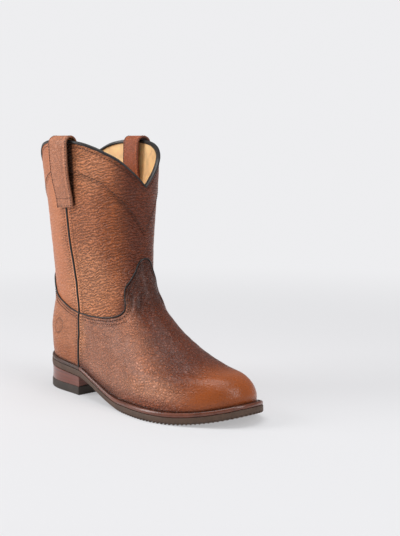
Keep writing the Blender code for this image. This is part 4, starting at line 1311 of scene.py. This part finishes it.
class ROPER_OT_upper(bpy.types.Operator):
    """Build the vamp, counter, shaft and lining"""

    bl_idname = "roper.upper"
    bl_label = "Upper"

    def execute(self, context):
        shaft = (lambda angle: overlay_line(angle) - 0.004, collar_line, 174)
        foot = (None, overlay_line, 130)
        for name, front, (low, high, rows), columns, relief, paint, leather in (
            ("shaft_front", True, shaft, 124, shaft_relief, shaft_paint, "shaft"),
            ("shaft_back", False, shaft, 100, shaft_relief, shaft_paint, "shaft"),
            ("vamp", True, foot, 165, vamp_relief, vamp_paint, "vamp"),
            ("counter", False, foot, 90, counter_relief, counter_paint, "counter"),
        ):
            shares = np.linspace(0, 1, rows)
            piece = panel(name, front, low, high, shares, columns, relief, paint, MATERIALS[leather])
            thicken(piece, context.scene.roper_boot.leather)
            finish_piece(piece, "shaft_leather", "upper")
        angles, side = full_ring(np.linspace(0, 180, 121))
        rise = np.linspace(0, 1, 90)[:, None] * rise_at(angles, collar_line(angles))
        points = lifted(angles, rise, side, LINING_FACE)
        piece = grid_sheet("lining", np.concatenate([points, points[:, :1]], 1), MATERIALS["lining"])
        thicken(piece, -LINING_THICKNESS)
        finish_piece(piece, "shaft_leather", "upper")
        return {"FINISHED"}


class ROPER_OT_trim(bpy.types.Operator):
    """Build the collar binding, the piping and the pull straps"""

    bl_idname = "roper.trim"
    bl_label = "Trim and pull straps"

    def execute(self, context):
        collar_piece()
        side_cord("side_cord_outer", OUTER, "side_piping_outer")
        side_cord("side_cord_inner", INNER, "side_piping_inner")
        overlay_cord("vamp_cord", True, "vamp_piping")
        overlay_cord("counter_cord", False, "counter_piping")
        strap_piece("pull_strap_outer_leather", OUTER, "pull_strap_outer")
        strap_piece("pull_strap_inner_leather", INNER, "pull_strap_inner")
        return {"FINISHED"}


class ROPER_OT_stitching(bpy.types.Operator):
    """Sew the seams, overlays, collar, straps and welt"""

    bl_idname = "roper.stitching"
    bl_label = "Stitching"

    def execute(self, context):
        settings = context.scene.roper_boot
        size = (settings.stitch_length, settings.stitch_pitch, settings.thread)
        stitch_rows("seam_stitching", seam_rows(), *size)
        rows = []
        for front in (True, False):
            rows += line_rows(front, overlay_line, ROW_DROPS[0], VAMP_FACE + 0.00005)
            rows += line_rows(front, overlay_line, ROW_DROPS[1], VAMP_FACE + 0.00005, last=128.0 if front else None)
        stitch_rows("overlay_stitching", rows, *size)
        rows = []
        for front in (True, False):
            rows += line_rows(front, yoke_line, -0.0022, YOKE_FACE, 0.006)
            rows += line_rows(front, collar_line, 0.0050, YOKE_FACE, 0.006)
        stitch_rows("shaft_stitching", rows, *size)
        stitch_rows("strap_stitching", strap_rows(), *size)
        stitch_rows("welt_stitching", welt_rows(), 0.0026, 0.0034, 0.0013)
        return {"FINISHED"}


class ROPER_OT_bottom(bpy.types.Operator):
    """Build the welt, outsole and heel"""

    bl_idname = "roper.bottom"
    bl_label = "Sole and heel"

    def execute(self, context):
        outsole_piece()
        welt_piece()
        rand_piece()
        heel_pieces()
        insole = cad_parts["insole"]
        insole.data.materials.clear()
        insole.data.materials.append(MATERIALS["footbed"])
        return {"FINISHED"}


def area_light(name, power, size, place, target):
    """A soft lamp that looks at a point."""
    bpy.ops.object.light_add(type="AREA", location=place)
    light = bpy.context.object
    light.name = name
    light.data.energy = power
    light.data.shape = "RECTANGLE"
    light.data.size, light.data.size_y = size
    ahead = np.array(target, float) - np.array(place)
    yaw = math.atan2(ahead[1], ahead[0]) - math.pi / 2
    pitch = math.atan2(ahead[2], math.hypot(ahead[0], ahead[1])) + math.pi / 2
    light.rotation_euler = (pitch, 0, yaw)


def backdrop_paint(name, colour, near, far):
    """Pale paint that turns into an even glow away from the boot, so that no horizon shows."""
    paint = Finish(name, 1.0, Specular_IOR_Level=0.0, Emission_Color=(*colour, 1))
    distance = paint.add("ShaderNodeVectorMath", "Value", {0: paint.place()}, operation="LENGTH")
    glow = paint.between(distance, near, far, 0.45, 1.0)
    paint.colour(paint.shaded(tuple(colour), paint.between(distance, near, far, 0.50, 0.0)))
    paint.feed("Emission Strength", glow)
    return paint.material


class ROPER_OT_stage(bpy.types.Operator):
    """Set up the pale floor, the soft lights and the camera"""

    bl_idname = "roper.stage"
    bl_label = "Stage"

    def execute(self, context):
        settings = context.scene.roper_boot
        deselect()
        bpy.ops.mesh.primitive_plane_add(size=12, location=(0, 0, 0))
        floor = bpy.context.object
        floor.name = "floor"
        floor.data.materials.append(backdrop_paint("floor_paint", settings.backdrop, 0.25, 1.3))
        deselect()
        turn = (math.pi / 2, 0, math.radians(47))
        bpy.ops.mesh.primitive_plane_add(size=12, location=(-4.4, 4.1, 0), rotation=turn)
        wall = bpy.context.object
        wall.name = "backdrop"
        wall.data.materials.append(backdrop_paint("backdrop_paint", settings.backdrop, 0.0, 0.001))
        wall.visible_glossy = False
        world = bpy.data.worlds.new("studio")
        context.scene.world = world
        world.use_nodes = True
        sky = world.node_tree.nodes["Background"].inputs
        sky["Color"].default_value = (0.84, 0.84, 0.86, 1)
        sky["Strength"].default_value = 0.3
        area_light("key", settings.key_light, (0.8, 1.2), (-0.95, -1.1, 0.8), (0, 0, 0.12))
        area_light("fill", settings.fill_light, (0.5, 0.9), (1.30, 0.10, 0.85), (0, 0, 0.08))
        area_light("top", settings.top_light, (1.0, 1.0), (0.05, -0.1, 1.5), (0, 0, 0.1))
        deselect()
        bpy.ops.object.camera_add(location=CAMERA_PLACE)
        camera = context.object
        yaw = math.atan2(CAMERA_AHEAD[1], CAMERA_AHEAD[0]) - math.pi / 2
        camera.rotation_euler = (math.radians(90 - CAMERA_PITCH), 0, yaw)
        camera.data.sensor_width = SENSOR
        camera.data.lens = CAMERA_FOCUS * SENSOR
        camera.data.clip_start = 0.01
        context.scene.camera = camera
        context.scene.view_settings.view_transform = "Standard"
        return {"FINISHED"}


class ROPER_PT_panel(bpy.types.Panel):
    """Lists the boot's settings and the steps that build it"""

    bl_label = "Roper boot"
    bl_idname = "ROPER_PT_panel"
    bl_space_type = "VIEW_3D"
    bl_region_type = "UI"
    bl_category = "Roper boot"

    def draw(self, context):
        settings = context.scene.roper_boot
        for name in RoperBootSettings.__annotations__:
            self.layout.prop(settings, name)
        for step in STEPS:
            self.layout.operator(step.bl_idname)


STEPS = (ROPER_OT_upper, ROPER_OT_trim, ROPER_OT_stitching, ROPER_OT_bottom, ROPER_OT_stage)
CLASSES = (RoperBootSettings, *STEPS, ROPER_PT_panel)


def register():
    for kind in CLASSES:
        bpy.utils.register_class(kind)
    bpy.types.Scene.roper_boot = PointerProperty(type=RoperBootSettings)


def unregister():
    del bpy.types.Scene.roper_boot
    for kind in reversed(CLASSES):
        bpy.utils.unregister_class(kind)


def main():
    register()
    make_materials()
    bpy.ops.roper.upper()
    bpy.ops.roper.trim()
    bpy.ops.roper.stitching()
    bpy.ops.roper.bottom()
    bpy.ops.roper.stage()


if __name__ == "__main__":
    main()
